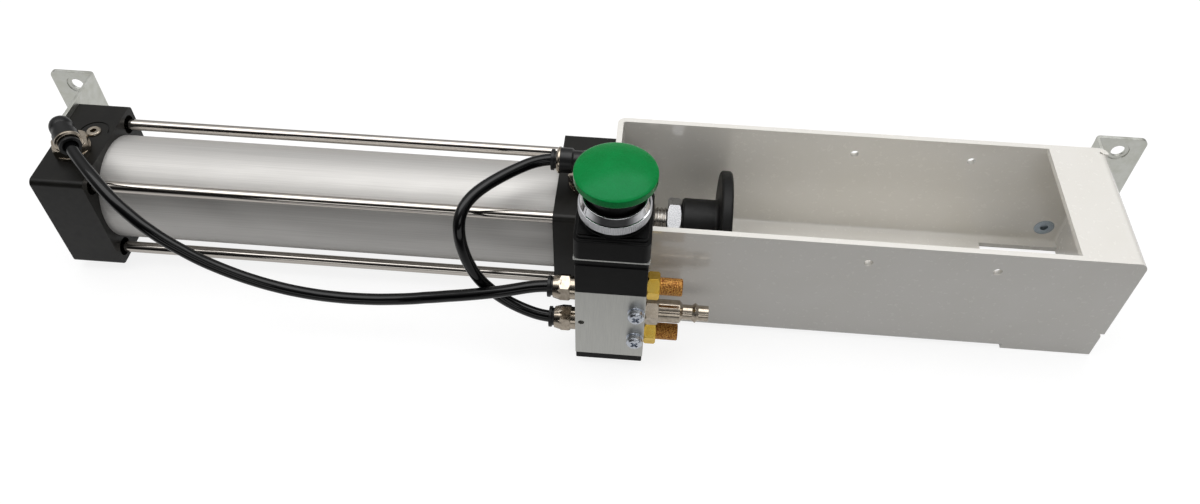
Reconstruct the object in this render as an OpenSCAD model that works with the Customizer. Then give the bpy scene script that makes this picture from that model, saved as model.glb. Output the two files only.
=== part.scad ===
// Wall-mounted pneumatic can crusher: a tie-rod cylinder drives a round foot along a
// folded sheet trough, and a push-button valve on the trough's front wall feeds it.
// Millimetres. The origin is the centre of the four wall holes, on the wall.
// X runs along the cylinder towards the trough's far end, Y into the wall, Z up.

/* [Cylinder] */
// Side of the square end caps
cap_side = 62; // [58:0.5:66]
// Length of each end cap along the cylinder
cap_len = 27.5; // [25:0.5:32]
// Rounding of the caps' long edges
cap_edge_r = 3; // [1:0.5:4]
// Visible length of the tube between the caps
barrel_len = 238; // [230:1:300]
// Least thickness of the caps between the bore and their flat sides
bore_wall = 6; // [5.5:0.5:8]
// Wall of the tube
tube_wall = 2.5; // [1.5:0.25:3]
// Diameter of the four tie rods
tie_rod_d = 6; // [5:0.5:7]
// Distance of the tie rods from the caps' flat sides
tie_edge = 7.5; // [7:0.25:8]
// Distance from the cylinder's axis to the wall
axis_to_wall = 53; // [48:1:70]

/* [Ram] */
// Diameter of the piston rod
rod_d = 20; // [16:0.5:22]
// Diameter of the rod's threaded end
rod_thread_d = 16; // [12:0.5:16]
// Length of the rod's threaded end
rod_thread_len = 34; // [30:1:40]
// Reach of the retracted rod beyond the front cap
rod_out = 57; // [55:1:62]
// Width across flats of the lock nut
lock_nut_af = 24; // [20:1:26]
// Height of the lock nut
lock_nut_h = 7; // [6:0.5:9]
// Diameter of the foot's hub
hub_d = 27.5; // [24:0.5:30]
// Length of the foot's hub
hub_len = 19; // [16:0.5:20]
// Diameter of the foot's pressing flange
foot_d = 59; // [40:1:60]
// Thickness of the foot's pressing flange
foot_t = 6; // [5:0.5:10]

/* [Trough] */
// Length of the trough from the front cap to its far end
trough_len = 255; // [245:1:300]
// Outside width of the trough
trough_w = 80; // [76:1:90]
// Height of the side walls over the upper tie rods
wall_over_rods = 13; // [11:0.5:21]
// Depth of the floor's underside under the lower tie rods
floor_under_rods = 12; // [10.5:0.5:21]
// Sheet thickness of the trough
sheet_t = 3; // [2:0.25:3.5]
// Length of the cover strip over the far end
cover_len = 30.3; // [20:0.5:40]
// Length of the exit slot in the floor
slot_len = 44; // [30:1:50]
// Width of the ledge that the exit slot leaves along the back wall
slot_ledge = 8.5; // [6:0.5:20]
// Diameter of the small holes high in the side walls
wall_hole_d = 4.4; // [3:0.2:6]

/* [Brackets] */
// Sheet thickness of the wall brackets
bracket_t = 2; // [2:0.25:4]
// Length of each bracket's tab along the wall
tab_len = 26; // [22:1:34]
// Diameter of the wall holes
wall_bolt_d = 7; // [5:0.5:9]
// Distance of the wall holes from the tab's free end
wall_hole_in = 13; // [11:0.5:15]
// Distance of the wall holes from the tabs' upper and lower edges
wall_hole_edge = 9; // [7:0.5:14]

/* [Valve] */
// Width of the valve along the trough
valve_w = 34; // [32:0.5:38]
// Depth of the valve from the trough's front wall
valve_depth = 29; // [26:0.5:31]
// Height of the aluminium valve body
valve_h = 48.3; // [48:0.5:56]
// Height of the black end cap under the valve body
end_cap_h = 4.8; // [4:0.2:8]
// Height of the black block over the valve body
head_block_h = 25.5; // [22:0.5:34]
// Side of the square button housing
housing_side = 35; // [34:0.5:38]
// Height of the square button housing
housing_h = 13.7; // [12:0.5:20]
// Outside diameter of the knurled ring
ring_d = 33.4; // [33:0.2:34.8]
// Diameter of the mushroom head
mushroom_d = 37.2; // [30:0.2:44]
// Travel of the push button
button_travel = 5; // [3:0.5:6]

/* [Fittings] */
// Outside diameter of the hoses
hose_d = 6; // [5:0.5:6]
// Width across flats of the valve fittings' hexagons
fitting_af = 12; // [11:0.5:13]
// Width across flats of the elbows' hexagons
elbow_af = 17; // [14:0.5:18]
// Diameter of the elbows' plastic bodies
elbow_d = 11.6; // [11.2:0.2:12]
// Height of the elbows' hose line above the caps
elbow_rise = 15.5; // [15:0.5:20]
// Diameter of the sintered silencer elements
silencer_d = 8.6; // [7:0.2:10]
// Length of the sintered silencer elements
silencer_len = 11; // [8:0.5:20]
// Diameter of the air plug's nose
plug_nose_d = 7.8; // [6:0.2:9]

/* [Hidden] */
$fn = 64;

// Overrun of every cut past the face that it leaves
over = 1;
// Radial clearance of running fits
run_gap = 0.05;
// Radial clearance of pieces pressed or screwed into each other
seat_gap = 0.05;
// Radial clearance of plain clearance holes
bolt_gap = 0.25;

// Overall length of the cylinder over its caps
cyl_len = 2 * cap_len + barrel_len;
bore_d = cap_side - 2 * bore_wall;
tie_pitch = cap_side - 2 * tie_edge;
trough_up = tie_pitch / 2 + wall_over_rods;
trough_down = tie_pitch / 2 + floor_under_rods;
// The brackets stand this far over the caps, above and below
bracket_over = 3.3;
bracket_h = cap_side + 2 * bracket_over;
wall_hole_up = bracket_h / 2 - wall_hole_edge;
tube_od = bore_d + 2 * tube_wall;
// Outer face of the rear cap, from the centre of the wall holes
rear_x = -(cyl_len + trough_len) / 2;
end_x = cyl_len + trough_len;

// Cap details
pocket_d = 10;
pocket_depth = 3;
tube_groove = 3;
spigot_len = 7;
chamber_d = 24;
rear_chamber_depth = 13;
front_chamber_d = 27;
front_chamber_depth = 10.5;
port_in = 12.5;
port_off = 6;
port_thread_d = 11.8;
port_thread_depth = 12;
port_passage_d = 6;
port_branch_d = 5;
port_passage_in = 8;
port_passage_up = bore_d / 2 - port_passage_in;
needle_in = 17.5;
needle_off = 8;
needle_d = 5;
needle_collar_d = 7.6;
needle_collar_h = 1.2;
needle_depth = 12;
needle_socket_af = 3;
needle_socket_depth = 5;
cast_arc_r = 8;
cast_arc_w = 0.8;
cast_arc_depth = 0.5;
boss_d = 34;
boss_len = 15;
boss_edge = 1;

// Sleeve nuts and the screws that enter them
nut_d = 10;
nut_len = 10;
nut_screw_d = 6;
nut_rod_depth = 3.5;
socket_head_d = 10;
socket_head_h = 6;
socket_af = 5;
socket_depth = 3;
screw_bite = 6;

// Seals inside the cylinder
oring_d = 2.2;
oring_groove_w = 2.8;

// Piston and its parts
piston_gap = 0.1;
piston_start = 0.5;
piston_len = 22;
piston_land = 3;
seal_w = 3.6;
seal_depth = 4;
wear_w = 5;
wear_depth = 1.6;
spigot_rod_d = 14;
piston_nut_af = 18;
piston_nut_h = 8;
sleeve_d = 26;
sleeve_len = 20;
bushing_wall = 3;
wiper_len = 5;
wiper_wall = 4;
wiper_gap = 0.1;
rod_edge = 1;
thread_groove_w = 2;
thread_groove_depth = 1.2;

// Lock nut and foot
rod_in_foot = 20;
nut_to_hub = 0.5;
foot_edge = 1;
foot_fillet = 2;
foot_recess_d = 16;
foot_recess_depth = 1;

// Trough details
bend_in = 1.5;
bend_out = bend_in + sheet_t;
hole_down = 12.4;
hole_near = 127;
hole_far = 188.5;
notch_size = 2;
notch_up = 15.5;
notch_back = 1;

// Brackets
tab_corner_r = 4;
bracket_bend_in = 1;
leg_past_screw = 8.5;
rear_leg_reach = axis_to_wall - tie_pitch / 2 + leg_past_screw;
end_flange_len = 25;
end_screw_in = 12.5;
end_screw_edge = 12;
end_screw_up = bracket_h / 2 - end_screw_edge;
csk_head_d = 11;
csk_head_h = 3;
end_screw_d = 6;
end_nut_af = 10;
end_nut_h = 5;
hole_dish_d = 11;
hole_dish = 0.5;

// Valve details
valve_from_cap = 4.3;
valve_low = 26.5;
port_to_wall = 17.5;
exhaust_up = 43.1;
exhaust_low = 7.3;
supply_up = 24.2;
outlet_up = 37.1;
outlet_low = 12.8;
valve_port_d = 9;
valve_port_depth = 8;
valve_passage_d = 4.4;
spool_bore_d = 12;
spool_land_d = 11.6;
spool_core_d = 7;
spool_tip_d = 6;
spool_land_len = 4.4;
spool_low = 8.5;
spool_seal_d = 1.6;
spring_d = 8;
spring_wire = 1;
spring_turns = 5;
spring_steps = 8;
spring_sides = 6;
end_cap_cavity = 3.3;
valve_edge = 0.6;
plate_h = 1.1;
plate_front = 2;
// Narrower band at the top of the black block
block_band_h = 6;
block_band_in = 0.6;
housing_front = 2.5;
housing_edge_r = 3.5;
housing_top_edge = 1.5;
collar_h = 3;
collar_d = 31;
housing_bore_d = 29;
housing_floor = 9;
guide_d = 22;
block_cavity_d = 24;
block_cavity_depth = 7;
ring_h = 8.6;
ring_band_h = 4.6;
ring_top_d = 30;
ring_bore_d = 29;
ring_lip_d = 27.6;
knurl_count = 48;
knurl_depth = 0.3;
ring_edge = 0.5;
neck_d = 25.4;
neck_to_head = 10;
neck_flare_d = 28;
neck_flare_h = 3;
plunger_tip_d = 8;
rim_h = 4.3;
rim_taper = 0.9;
crown_h = 4;
mount_screw_d = 4;
mount_screw_right = 12.6;
mount_screw_high = 35.9;
mount_screw_low = 15.9;
pan_head_d = 8;
pan_head_h = 3;
pan_edge = 1;
cross_w = 1.2;
cross_l = 4.2;
cross_depth = 1.6;
spring_washer_t = 1.1;
spring_washer_d = 7.4;
spring_washer_slit = 0.8;
flat_washer_t = 0.8;
flat_washer_d = 8.4;
screw_through = 2;
side_plug_d = 3;

// Fittings
thread_gap = 0.1;
shank_len = 7;
fitting_collar_d = 11.4;
fitting_collar_len = 3.2;
fitting_hex_len = 5.3;
fitting_nose_len = 3;
fitting_nose_d = 12.4;
hex_edge = 0.8;
hex_turn = 13;
fitting_through_d = 4;
collet_d = 9;
collet_bore_gap = 0.15;
collet_flange_d = 10.6;
collet_flange_t = 1.6;
collet_sleeve_len = 5.5;
collet_travel = 1.2;
collet_flare = 0.7;
hose_stop = 9.5;
elbow_hex_h = 6;
elbow_flange_d = 18.4;
elbow_flange_h = 1.6;
elbow_shank_len = 10;
elbow_neck_d = 9;
elbow_skirt_gap = 0.3;
elbow_arm = 13.2;
elbow_shoulder = 6.6;
elbow_shoulder_edge = 0.9;
elbow_arm_d = 12.6;
elbow_ring_len = 1.8;
elbow_ring_d = 13.4;
elbow_link_d = 10.4;
elbow_through_d = 4;
elbow_arm_through_d = 3.4;
rear_elbow_turn = -51;
front_elbow_turn = 180;
silencer_hex_len = 6;
silencer_edge = 0.4;
plug_hex_af = 13;
plug_hex_len = 6.4;
plug_barrel_d = 11.4;
plug_barrel_len = 10.4;
plug_taper = 1.6;
plug_neck_d = 7.6;
plug_neck_len = 4.6;
plug_collar_d = 10;
plug_collar_len = 3;
plug_nose_len = 5;
plug_bore_d = 4.5;

// Hoses: twelve sides, and rings at the route's own points
hose_sides = 12;

valve_x = cyl_len + valve_from_cap;
wall_y = -trough_w / 2;
valve_front_y = wall_y - valve_depth;
valve_port_y = wall_y - port_to_wall;
spool_y = valve_front_y - housing_front + housing_side / 2;
valve_z = -valve_low;
block_z = valve_z + valve_h;
plate_z = block_z + head_block_h;
housing_z = plate_z + plate_h;
housing_top_z = housing_z + housing_h;
ring_z = housing_top_z + collar_h;
ring_top_z = ring_z + ring_h;
head_z = ring_top_z + neck_to_head;
outlet_x = valve_x - valve_w / 2;
inlet_x = valve_x + valve_w / 2;
elbow_z = cap_side / 2 + elbow_rise;
rear_port_x = port_in;
front_port_x = cyl_len - port_in;
hose_end = collet_flange_t + collet_travel;
fitting_mouth = fitting_collar_len + fitting_hex_len + fitting_nose_len;
elbow_mouth = elbow_arm + elbow_ring_len;

// Route of the hose from the rear elbow to the upper outlet, in the cylinder's own frame
rear_route_free = [[33.7, -30.2, 46.2], [41.2, -37, 45], [46.8, -42, 43.3], [52.7, -46.5, 40.7],
    [58, -49.8, 37.6], [63.2, -52.3, 34.6], [67.9, -54.3, 31.9], [72.5, -55.8, 28.6], [80.6, -57.2, 22],
    [92.6, -58, 11.8], [101, -58, 6.3], [110, -58, 1.4], [119, -58, -2.9], [129, -58, -6.3], [139, -58, -8.5],
    [149, -58, -9.9], [159, -58, -10.5], [169, -58, -10.5], [180, -58, -9.7], [190, -58, -8.4],
    [200.5, -58, -6.6], [211, -58, -4.4], [221.5, -58, -1.8], [232, -58, 1.3], [243, -58, 4.8],
    [252.5, -57.8, 8.2]];
// Route of the hose from the front elbow to the lower outlet
front_route_free = [[249.8, -10, 45.6], [243.8, -13.2, 44.3], [238.3, -17.3, 43.5], [234, -22, 43.5],
    [230.3, -27.2, 43.9], [227.2, -32.5, 44.2], [224.8, -37.5, 44], [223.3, -42, 42.9], [222.7, -45.8, 40.6],
    [222.7, -48.6, 37.2], [223.3, -50.4, 33], [224.1, -51.3, 27.6], [225.3, -51.5, 21.5], [226.5, -51.5, 15.8],
    [228.2, -51.5, 10.2], [230.3, -51.5, 5], [233, -51.5, 0.2], [236.4, -51.7, -4.2], [240.6, -52.3, -7.8],
    [245.5, -53.5, -10.3], [251, -55, -12]];

// Placing: the pieces are drawn from the rear cap's outer face, on the cylinder's axis
module place() translate([rear_x, -axis_to_wall, 0]) children();
module along_x() rotate([0, 90, 0]) children();
module along_y() rotate([-90, 0, 0]) children();
module tube_x(x, d, l) translate([x, 0, 0]) along_x() cylinder(d = d, h = l);
module at_tie_rods() {
    for (y = [-tie_pitch / 2, tie_pitch / 2])
        for (z = [-tie_pitch / 2, tie_pitch / 2])
            translate([0, y, z]) children();
}

// A flat outline with round corners
module soft_square(w, h, r) {
    square([w, h - 2 * r], center = true);
    square([w - 2 * r, h], center = true);
    for (x = [-w / 2 + r, w / 2 - r])
        for (y = [-h / 2 + r, h / 2 - r])
            translate([x, y]) circle(r = r);
}

// A hexagonal prism with turned ends, on Z
module hex_bar(af, h, edge) {
    corner_d = af / cos(30);
    intersection() {
        cylinder(d = corner_d, h = h, $fn = 6);
        rotate_extrude() polygon([[0, 0], [corner_d / 2 - edge, 0], [corner_d / 2, edge],
            [corner_d / 2, h - edge], [corner_d / 2 - edge, h], [0, h]]);
    }
}

// A quarter of a bent sheet, centre of the bend at the origin, filling the quadrant qx, qy
module bend(r_in, t, qx, qy) {
    r = r_in + t;
    intersection() {
        difference() {
            circle(r = r);
            circle(r = r_in);
        }
        translate([qx > 0 ? 0 : -r, qy > 0 ? 0 : -r]) square([r, r]);
    }
}

// Cylinder
module cap_block() {
    along_x() linear_extrude(cap_len) soft_square(cap_side, cap_side, cap_edge_r);
}

// What both caps have on the tube's side, seen from the cap's outer face at the origin
module cap_spigot() {
    tube_x(cap_len - over, bore_d - 2 * seat_gap, spigot_len + over);
}

module cap_cuts(hole_d, hole_depth) {
    // groove that the tube stands in
    translate([cap_len - tube_groove, 0, 0]) along_x() difference() {
        cylinder(d = tube_od + 2 * seat_gap, h = tube_groove + over);
        translate([0, 0, -over]) cylinder(d = bore_d - 2 * seat_gap, h = tube_groove + 3 * over);
    }
    // O-ring groove round the spigot
    translate([cap_len + (spigot_len - oring_groove_w) / 2, 0, 0]) along_x() difference() {
        cylinder(d = bore_d + over, h = oring_groove_w);
        translate([0, 0, -over]) cylinder(d = bore_d - 2 * oring_d, h = oring_groove_w + 2 * over);
    }
    // cushion chamber
    tube_x(cap_len + spigot_len - hole_depth, hole_d, hole_depth + over);
    // tie rods, their pockets and their sleeve nuts
    at_tie_rods() {
        tube_x(-over, tie_rod_d + 2 * bolt_gap, cap_len + 2 * over);
        tube_x(-over, nut_d + 2 * seat_gap, nut_len + over);
        tube_x(cap_len - pocket_depth, pocket_d, pocket_depth + over);
    }
    // air port and its passage to the chamber
    translate([port_in, -port_off, cap_side / 2 - port_thread_depth])
        cylinder(d = port_thread_d, h = port_thread_depth + over);
    translate([port_in, -port_off, port_passage_up - port_passage_d / 2]) cylinder(d = port_passage_d, h = cap_side / 4);
    translate([port_in, -port_off, port_passage_up]) tube_x(0, port_branch_d, cap_len + spigot_len - port_in + over);
    // cushion needle
    translate([needle_in, needle_off, cap_side / 2 - needle_depth])
        cylinder(d = needle_d + 2 * run_gap, h = needle_depth + over);
    // cast arc round the needle
    translate([needle_in, needle_off, cap_side / 2 - cast_arc_depth]) difference() {
        cylinder(r = cast_arc_r, h = cast_arc_depth + over);
        translate([0, 0, -over]) cylinder(r = cast_arc_r - cast_arc_w, h = cast_arc_depth + 3 * over);
        translate([-cast_arc_r - over, -2 * cast_arc_r, -over])
            cube([2 * (cast_arc_r + over), 2 * cast_arc_r, cast_arc_depth + 3 * over]);
    }
}

module rear_cap() {
    color([0.14, 0.14, 0.13]) place() difference() {
        union() {
            cap_block();
            cap_spigot();
        }
        cap_cuts(chamber_d, spigot_len + rear_chamber_depth);
    }
}

module front_cap() {
    color([0.14, 0.14, 0.13]) place() difference() {
        union() {
            translate([cyl_len, 0, 0]) mirror([1, 0, 0]) {
                cap_block();
                cap_spigot();
            }
            translate([cyl_len - over, 0, 0]) along_x() rotate_extrude() polygon([[0, 0], [boss_d / 2, 0],
                [boss_d / 2, boss_len + over - boss_edge], [boss_d / 2 - boss_edge, boss_len + over], [0, boss_len + over]]);
        }
        translate([cyl_len, 0, 0]) mirror([1, 0, 0])
            cap_cuts(front_chamber_d, spigot_len + front_chamber_depth);
        tube_x(cyl_len - cap_len, rod_d + 2 * bushing_wall + 2 * seat_gap, cap_len + boss_len - wiper_len);
        tube_x(cyl_len + boss_len - wiper_len, rod_d + 2 * wiper_wall, wiper_len + over);
    }
}

module cylinder_tube() {
    color([0.80, 0.79, 0.78]) place() translate([cap_len - tube_groove, 0, 0]) along_x()
        difference() {
            cylinder(d = tube_od, h = barrel_len + 2 * tube_groove, $fn = 96);
            translate([0, 0, -over]) cylinder(d = bore_d, h = barrel_len + 2 * tube_groove + 2 * over, $fn = 96);
        }
}

module tie_rods() {
    color([0.72, 0.70, 0.68]) place() at_tie_rods()
        tube_x(nut_len - nut_rod_depth, tie_rod_d, cyl_len - 2 * (nut_len - nut_rod_depth));
}

module sleeve_nut() {
    difference() {
        tube_x(0, nut_d, nut_len);
        tube_x(-over, nut_screw_d + 2 * seat_gap, nut_len + 2 * over);
    }
}

module tie_rod_nuts() {
    color([0.60, 0.60, 0.58]) place() {
        at_tie_rods() sleeve_nut();
        translate([cyl_len, 0, 0]) mirror([1, 0, 0]) at_tie_rods() sleeve_nut();
    }
}

module tube_seals() {
    color([0.05, 0.05, 0.05]) place()
        for (x = [cap_len + spigot_len / 2, cyl_len - cap_len - spigot_len / 2])
            translate([x, 0, 0]) along_x() rotate_extrude()
                translate([bore_d / 2 - oring_d / 2 - seat_gap, 0]) circle(d = oring_d - 2 * seat_gap, $fn = 24);
}

module rod_bushing() {
    start = cyl_len - cap_len + front_chamber_depth;
    color([0.70, 0.52, 0.25]) place() difference() {
        tube_x(start, rod_d + 2 * bushing_wall, cyl_len + boss_len - wiper_len - start);
        tube_x(start - over, rod_d + 2 * run_gap, cap_len + boss_len);
    }
}

module rod_wiper() {
    color([0.05, 0.05, 0.05]) place() difference() {
        tube_x(cyl_len + boss_len - wiper_len, rod_d + 2 * wiper_wall - 2 * seat_gap, wiper_len);
        tube_x(cyl_len + boss_len - wiper_len - over, rod_d + 2 * wiper_gap, wiper_len + 2 * over);
    }
}

module cushion_needle() {
    difference() {
        union() {
            translate([0, 0, -needle_depth]) cylinder(d = needle_d, h = needle_depth + needle_collar_h);
            rotate_extrude() polygon([[0, 0], [needle_collar_d / 2, 0], [needle_collar_d / 2, needle_collar_h / 2],
                [needle_collar_d / 2 - needle_collar_h / 2, needle_collar_h], [0, needle_collar_h]]);
        }
        translate([0, 0, needle_collar_h - needle_socket_depth])
            cylinder(d = needle_socket_af / cos(30), h = needle_socket_depth + over, $fn = 6);
    }
}

module cushion_needle_rear() {
    color([0.66, 0.60, 0.52]) place() translate([needle_in, needle_off, cap_side / 2]) cushion_needle();
}

module cushion_needle_front() {
    color([0.66, 0.60, 0.52]) place() translate([cyl_len - needle_in, needle_off, cap_side / 2]) cushion_needle();
}

// Ram
piston_x = cap_len + spigot_len + piston_start;
rod_shoulder_x = cyl_len + rod_out - rod_thread_len;
rod_tip_x = cyl_len + rod_out;

module piston_rod() {
    r = rod_d / 2;
    t = rod_thread_d / 2;
    s = spigot_rod_d / 2;
    color([0.62, 0.61, 0.59]) place() along_x() rotate_extrude() polygon([
        [0, piston_x - piston_nut_h], [s, piston_x - piston_nut_h], [s, piston_x + piston_len],
        [r, piston_x + piston_len], [r, rod_shoulder_x - rod_edge], [r - rod_edge, rod_shoulder_x],
        [t - thread_groove_depth, rod_shoulder_x],
        [t - thread_groove_depth, rod_shoulder_x + thread_groove_w], [t, rod_shoulder_x + thread_groove_w + rod_edge],
        [t, rod_tip_x - rod_edge], [t - rod_edge, rod_tip_x], [0, rod_tip_x]]);
}

module piston() {
    r = bore_d / 2 - piston_gap;
    wear_z = piston_len - piston_land - wear_w;
    color([0.75, 0.75, 0.76]) place() translate([piston_x, 0, 0]) along_x() rotate_extrude() polygon([
        [spigot_rod_d / 2 + seat_gap, 0], [r, 0], [r, piston_land], [r - seal_depth, piston_land],
        [r - seal_depth, piston_land + seal_w], [r, piston_land + seal_w], [r, wear_z],
        [r - wear_depth, wear_z], [r - wear_depth, wear_z + wear_w], [r, wear_z + wear_w],
        [r, piston_len], [spigot_rod_d / 2 + seat_gap, piston_len]]);
}

module piston_seals() {
    r = bore_d / 2;
    color([0.05, 0.05, 0.05]) place() translate([piston_x + piston_land, 0, 0]) along_x() rotate_extrude()
        polygon([[r - piston_gap - seal_depth + seat_gap, seat_gap], [r - 2 * run_gap, seat_gap],
            [r - 2 * run_gap, seal_w - seat_gap], [r - piston_gap - seal_depth + seat_gap, seal_w - seat_gap]]);
}

module wear_ring() {
    r = bore_d / 2;
    z = piston_len - piston_land - wear_w;
    color([0.85, 0.82, 0.72]) place() translate([piston_x + z, 0, 0]) along_x() rotate_extrude()
        polygon([[r - piston_gap - wear_depth + seat_gap, seat_gap], [r - run_gap, seat_gap],
            [r - run_gap, wear_w - seat_gap], [r - piston_gap - wear_depth + seat_gap, wear_w - seat_gap]]);
}

module cushion_sleeve() {
    color([0.70, 0.70, 0.70]) place() difference() {
        tube_x(piston_x + piston_len, sleeve_d, sleeve_len);
        tube_x(piston_x + piston_len - over, rod_d + 2 * seat_gap, sleeve_len + 2 * over);
    }
}

module piston_nut() {
    color([0.60, 0.60, 0.58]) place() translate([piston_x - piston_nut_h, 0, 0]) along_x() difference() {
        hex_bar(piston_nut_af, piston_nut_h, hex_edge);
        translate([0, 0, -over]) cylinder(d = spigot_rod_d + 2 * seat_gap, h = piston_nut_h + 2 * over);
    }
}

hub_x = rod_tip_x - rod_in_foot;

module lock_nut() {
    color([0.86, 0.86, 0.85]) place() translate([hub_x - nut_to_hub - lock_nut_h, 0, 0]) along_x() difference() {
        hex_bar(lock_nut_af, lock_nut_h, 2 * hex_edge);
        translate([0, 0, -over]) cylinder(d = rod_thread_d + 2 * seat_gap, h = lock_nut_h + 2 * over);
    }
}

module crush_foot() {
    r = hub_d / 2;
    f = foot_d / 2;
    l = hub_len + foot_t;
    color([0.10, 0.10, 0.11]) place() translate([hub_x, 0, 0]) difference() {
        along_x() rotate_extrude($fn = 96) difference() {
            union() {
                polygon([[0, 0], [r - foot_edge, 0], [r, foot_edge], [r, hub_len], [f - foot_edge, hub_len],
                    [f, hub_len + foot_edge], [f, l - foot_edge], [f - foot_edge, l], [0, l]]);
                translate([r, hub_len - foot_fillet]) difference() {
                    square([foot_fillet, foot_fillet]);
                    translate([foot_fillet, 0]) circle(r = foot_fillet, $fn = 32);
                }
            }
            translate([0, l - foot_recess_depth]) square([foot_recess_d / 2, foot_recess_depth + over]);
        }
        tube_x(-over, rod_thread_d + 2 * seat_gap, rod_tip_x - hub_x + over);
    }
}

// Trough
module trough_section() {
    w = trough_w / 2;
    b = bend_out;
    // back wall, floor and front wall in the plane across the trough: first axis Y, second Z
    translate([w - sheet_t, -trough_down + b]) square([sheet_t, trough_up + trough_down - b]);
    translate([-w, -trough_down + b]) square([sheet_t, trough_up + trough_down - b]);
    translate([-w + b, -trough_down]) square([2 * w - 2 * b, sheet_t]);
    translate([w - b, -trough_down + b]) bend(bend_in, sheet_t, 1, -1);
    translate([-w + b, -trough_down + b]) bend(bend_in, sheet_t, -1, -1);
}

// Outline seen from above of the back wall with the end walls bent off it
module end_wall_plan() {
    w = trough_w / 2;
    b = bend_out;
    translate([cyl_len + b, w - sheet_t]) square([trough_len - 2 * b, sheet_t]);
    translate([cyl_len, -w + sheet_t]) square([sheet_t, 2 * w - sheet_t - b]);
    translate([cyl_len + b, w - b]) bend(bend_in, sheet_t, -1, 1);
    translate([end_x - b, w - b]) bend(bend_in, sheet_t, 1, 1);
}

// Solid that the trough's plan fills, with the back corners bent round
module trough_plan() {
    w = trough_w / 2;
    b = bend_out;
    translate([cyl_len, -w]) square([trough_len, 2 * w - b]);
    translate([cyl_len + b, -w]) square([trough_len - 2 * b, 2 * w]);
    translate([cyl_len + b, w - b]) circle(r = b);
    translate([end_x - b, w - b]) circle(r = b);
}

module channel() {
    w = trough_w / 2;
    h = trough_up + trough_down;
    slot_x = end_x - sheet_t - slot_len;
    color([0.90, 0.89, 0.87]) place() difference() {
        intersection() {
            union() {
                // floor and side walls, bent along the trough
                translate([cyl_len, 0, 0]) rotate([90, 0, 90]) linear_extrude(trough_len) trough_section();
                // near end wall and the far corner, bent off the back wall
                translate([0, 0, -trough_down + sheet_t / 2]) linear_extrude(h - sheet_t / 2) end_wall_plan();
                // straight foot of the front wall beside the exit slot
                translate([slot_x, -w, -trough_down]) cube([trough_len - (slot_x - cyl_len), sheet_t, 2 * bend_out]);
            }
            translate([0, 0, -trough_down - over]) linear_extrude(h + 2 * over) trough_plan();
        }
        // bay of the end cover, and the front wall's corner rounded like its fold
        translate([end_x - sheet_t, -w + sheet_t, -trough_down - over])
            cube([sheet_t + over, 2 * w - sheet_t - bend_out, h + 2 * over]);
        translate([end_x - bend_out, -w - over, trough_up - bend_out]) rotate([90, 0, 0]) mirror([0, 0, 1])
            linear_extrude(sheet_t + 2 * over) difference() {
                square(bend_out + over);
                circle(r = bend_out);
            }
        // exit slot in the floor
        translate([slot_x, -w + sheet_t, -trough_down - over])
            cube([slot_len, 2 * w - sheet_t - slot_ledge, sheet_t + 2 * over + bend_in]);
        // holes high in both side walls
        for (x = [hole_near, hole_far])
            translate([cyl_len + x, -w - over, trough_up - hole_down])
                along_y() cylinder(d = wall_hole_d, h = 2 * w + 2 * over);
        // relief notch, and the front wall's edge set back under it
        translate([end_x - notch_size, -w - over, -trough_down + notch_up])
            cube([notch_size + over, sheet_t + over, notch_size]);
        translate([end_x - notch_back, -w - over, -trough_down - over])
            cube([notch_back + over, sheet_t + over, notch_up + 2 * over]);
        // the cylinder's nose and the cap screws
        tube_x(cyl_len - over, boss_d + 2 * bolt_gap, sheet_t + 2 * over);
        at_tie_rods() tube_x(cyl_len - over, nut_screw_d + 2 * bolt_gap, sheet_t + 2 * over);
        // valve screws
        for (z = [mount_screw_high, mount_screw_low])
            translate([valve_x + mount_screw_right, -w - over, valve_z + z])
                along_y() cylinder(d = mount_screw_d + 2 * seat_gap, h = sheet_t + 2 * over);
        // countersunk holes of the end bracket's screws
        for (z = [-end_screw_up, end_screw_up]) translate([end_x - end_screw_in, w - sheet_t, z]) along_y() {
            translate([0, 0, -over]) cylinder(d = end_screw_d + 2 * bolt_gap, h = sheet_t + 2 * over);
            translate([0, 0, 0]) rotate_extrude() polygon([[0, -over], [csk_head_d / 2 + seat_gap, -over],
                [csk_head_d / 2 + seat_gap, 0], [end_screw_d / 2 + seat_gap, csk_head_h - seat_gap], [0, csk_head_h - seat_gap]]);
        }
    }
}

// End wall and cover strip, folded from one sheet and welded into the far end
module end_cover() {
    w = trough_w / 2;
    b = bend_out;
    color([0.90, 0.89, 0.87]) place() difference() {
        translate([0, w - sheet_t, 0]) rotate([90, 0, 0]) linear_extrude(2 * w - 2 * sheet_t) {
            translate([end_x - sheet_t, -trough_down]) square([sheet_t, trough_up + trough_down - b]);
            translate([end_x - cover_len, trough_up - sheet_t]) square([cover_len - b, sheet_t]);
            translate([end_x - b, trough_up - b]) bend(bend_in, sheet_t, 1, 1);
        }
        // relief at the trough's bent corner
        translate([end_x - b, w - b, -trough_down - over]) cube([b + over, b, trough_up + trough_down + 2 * over]);
    }
}

// A socket cap screw along X, its head's seat at the origin and its shank towards +X
module socket_screw(bite) {
    difference() {
        union() {
            along_x() cylinder(d = nut_screw_d, h = bite);
            translate([-socket_head_h, 0, 0]) along_x() rotate_extrude() polygon([[0, 0],
                [socket_head_d / 2 - hex_edge, 0], [socket_head_d / 2, hex_edge], [socket_head_d / 2, socket_head_h], [0, socket_head_h]]);
        }
        translate([-socket_head_h - over, 0, 0]) along_x()
            cylinder(d = socket_af / cos(30), h = socket_depth + over, $fn = 6);
    }
}

module channel_screws() {
    color([0.45, 0.45, 0.45]) place() translate([cyl_len + sheet_t, 0, 0]) mirror([1, 0, 0])
        at_tie_rods() socket_screw(sheet_t + screw_bite);
}

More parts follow.
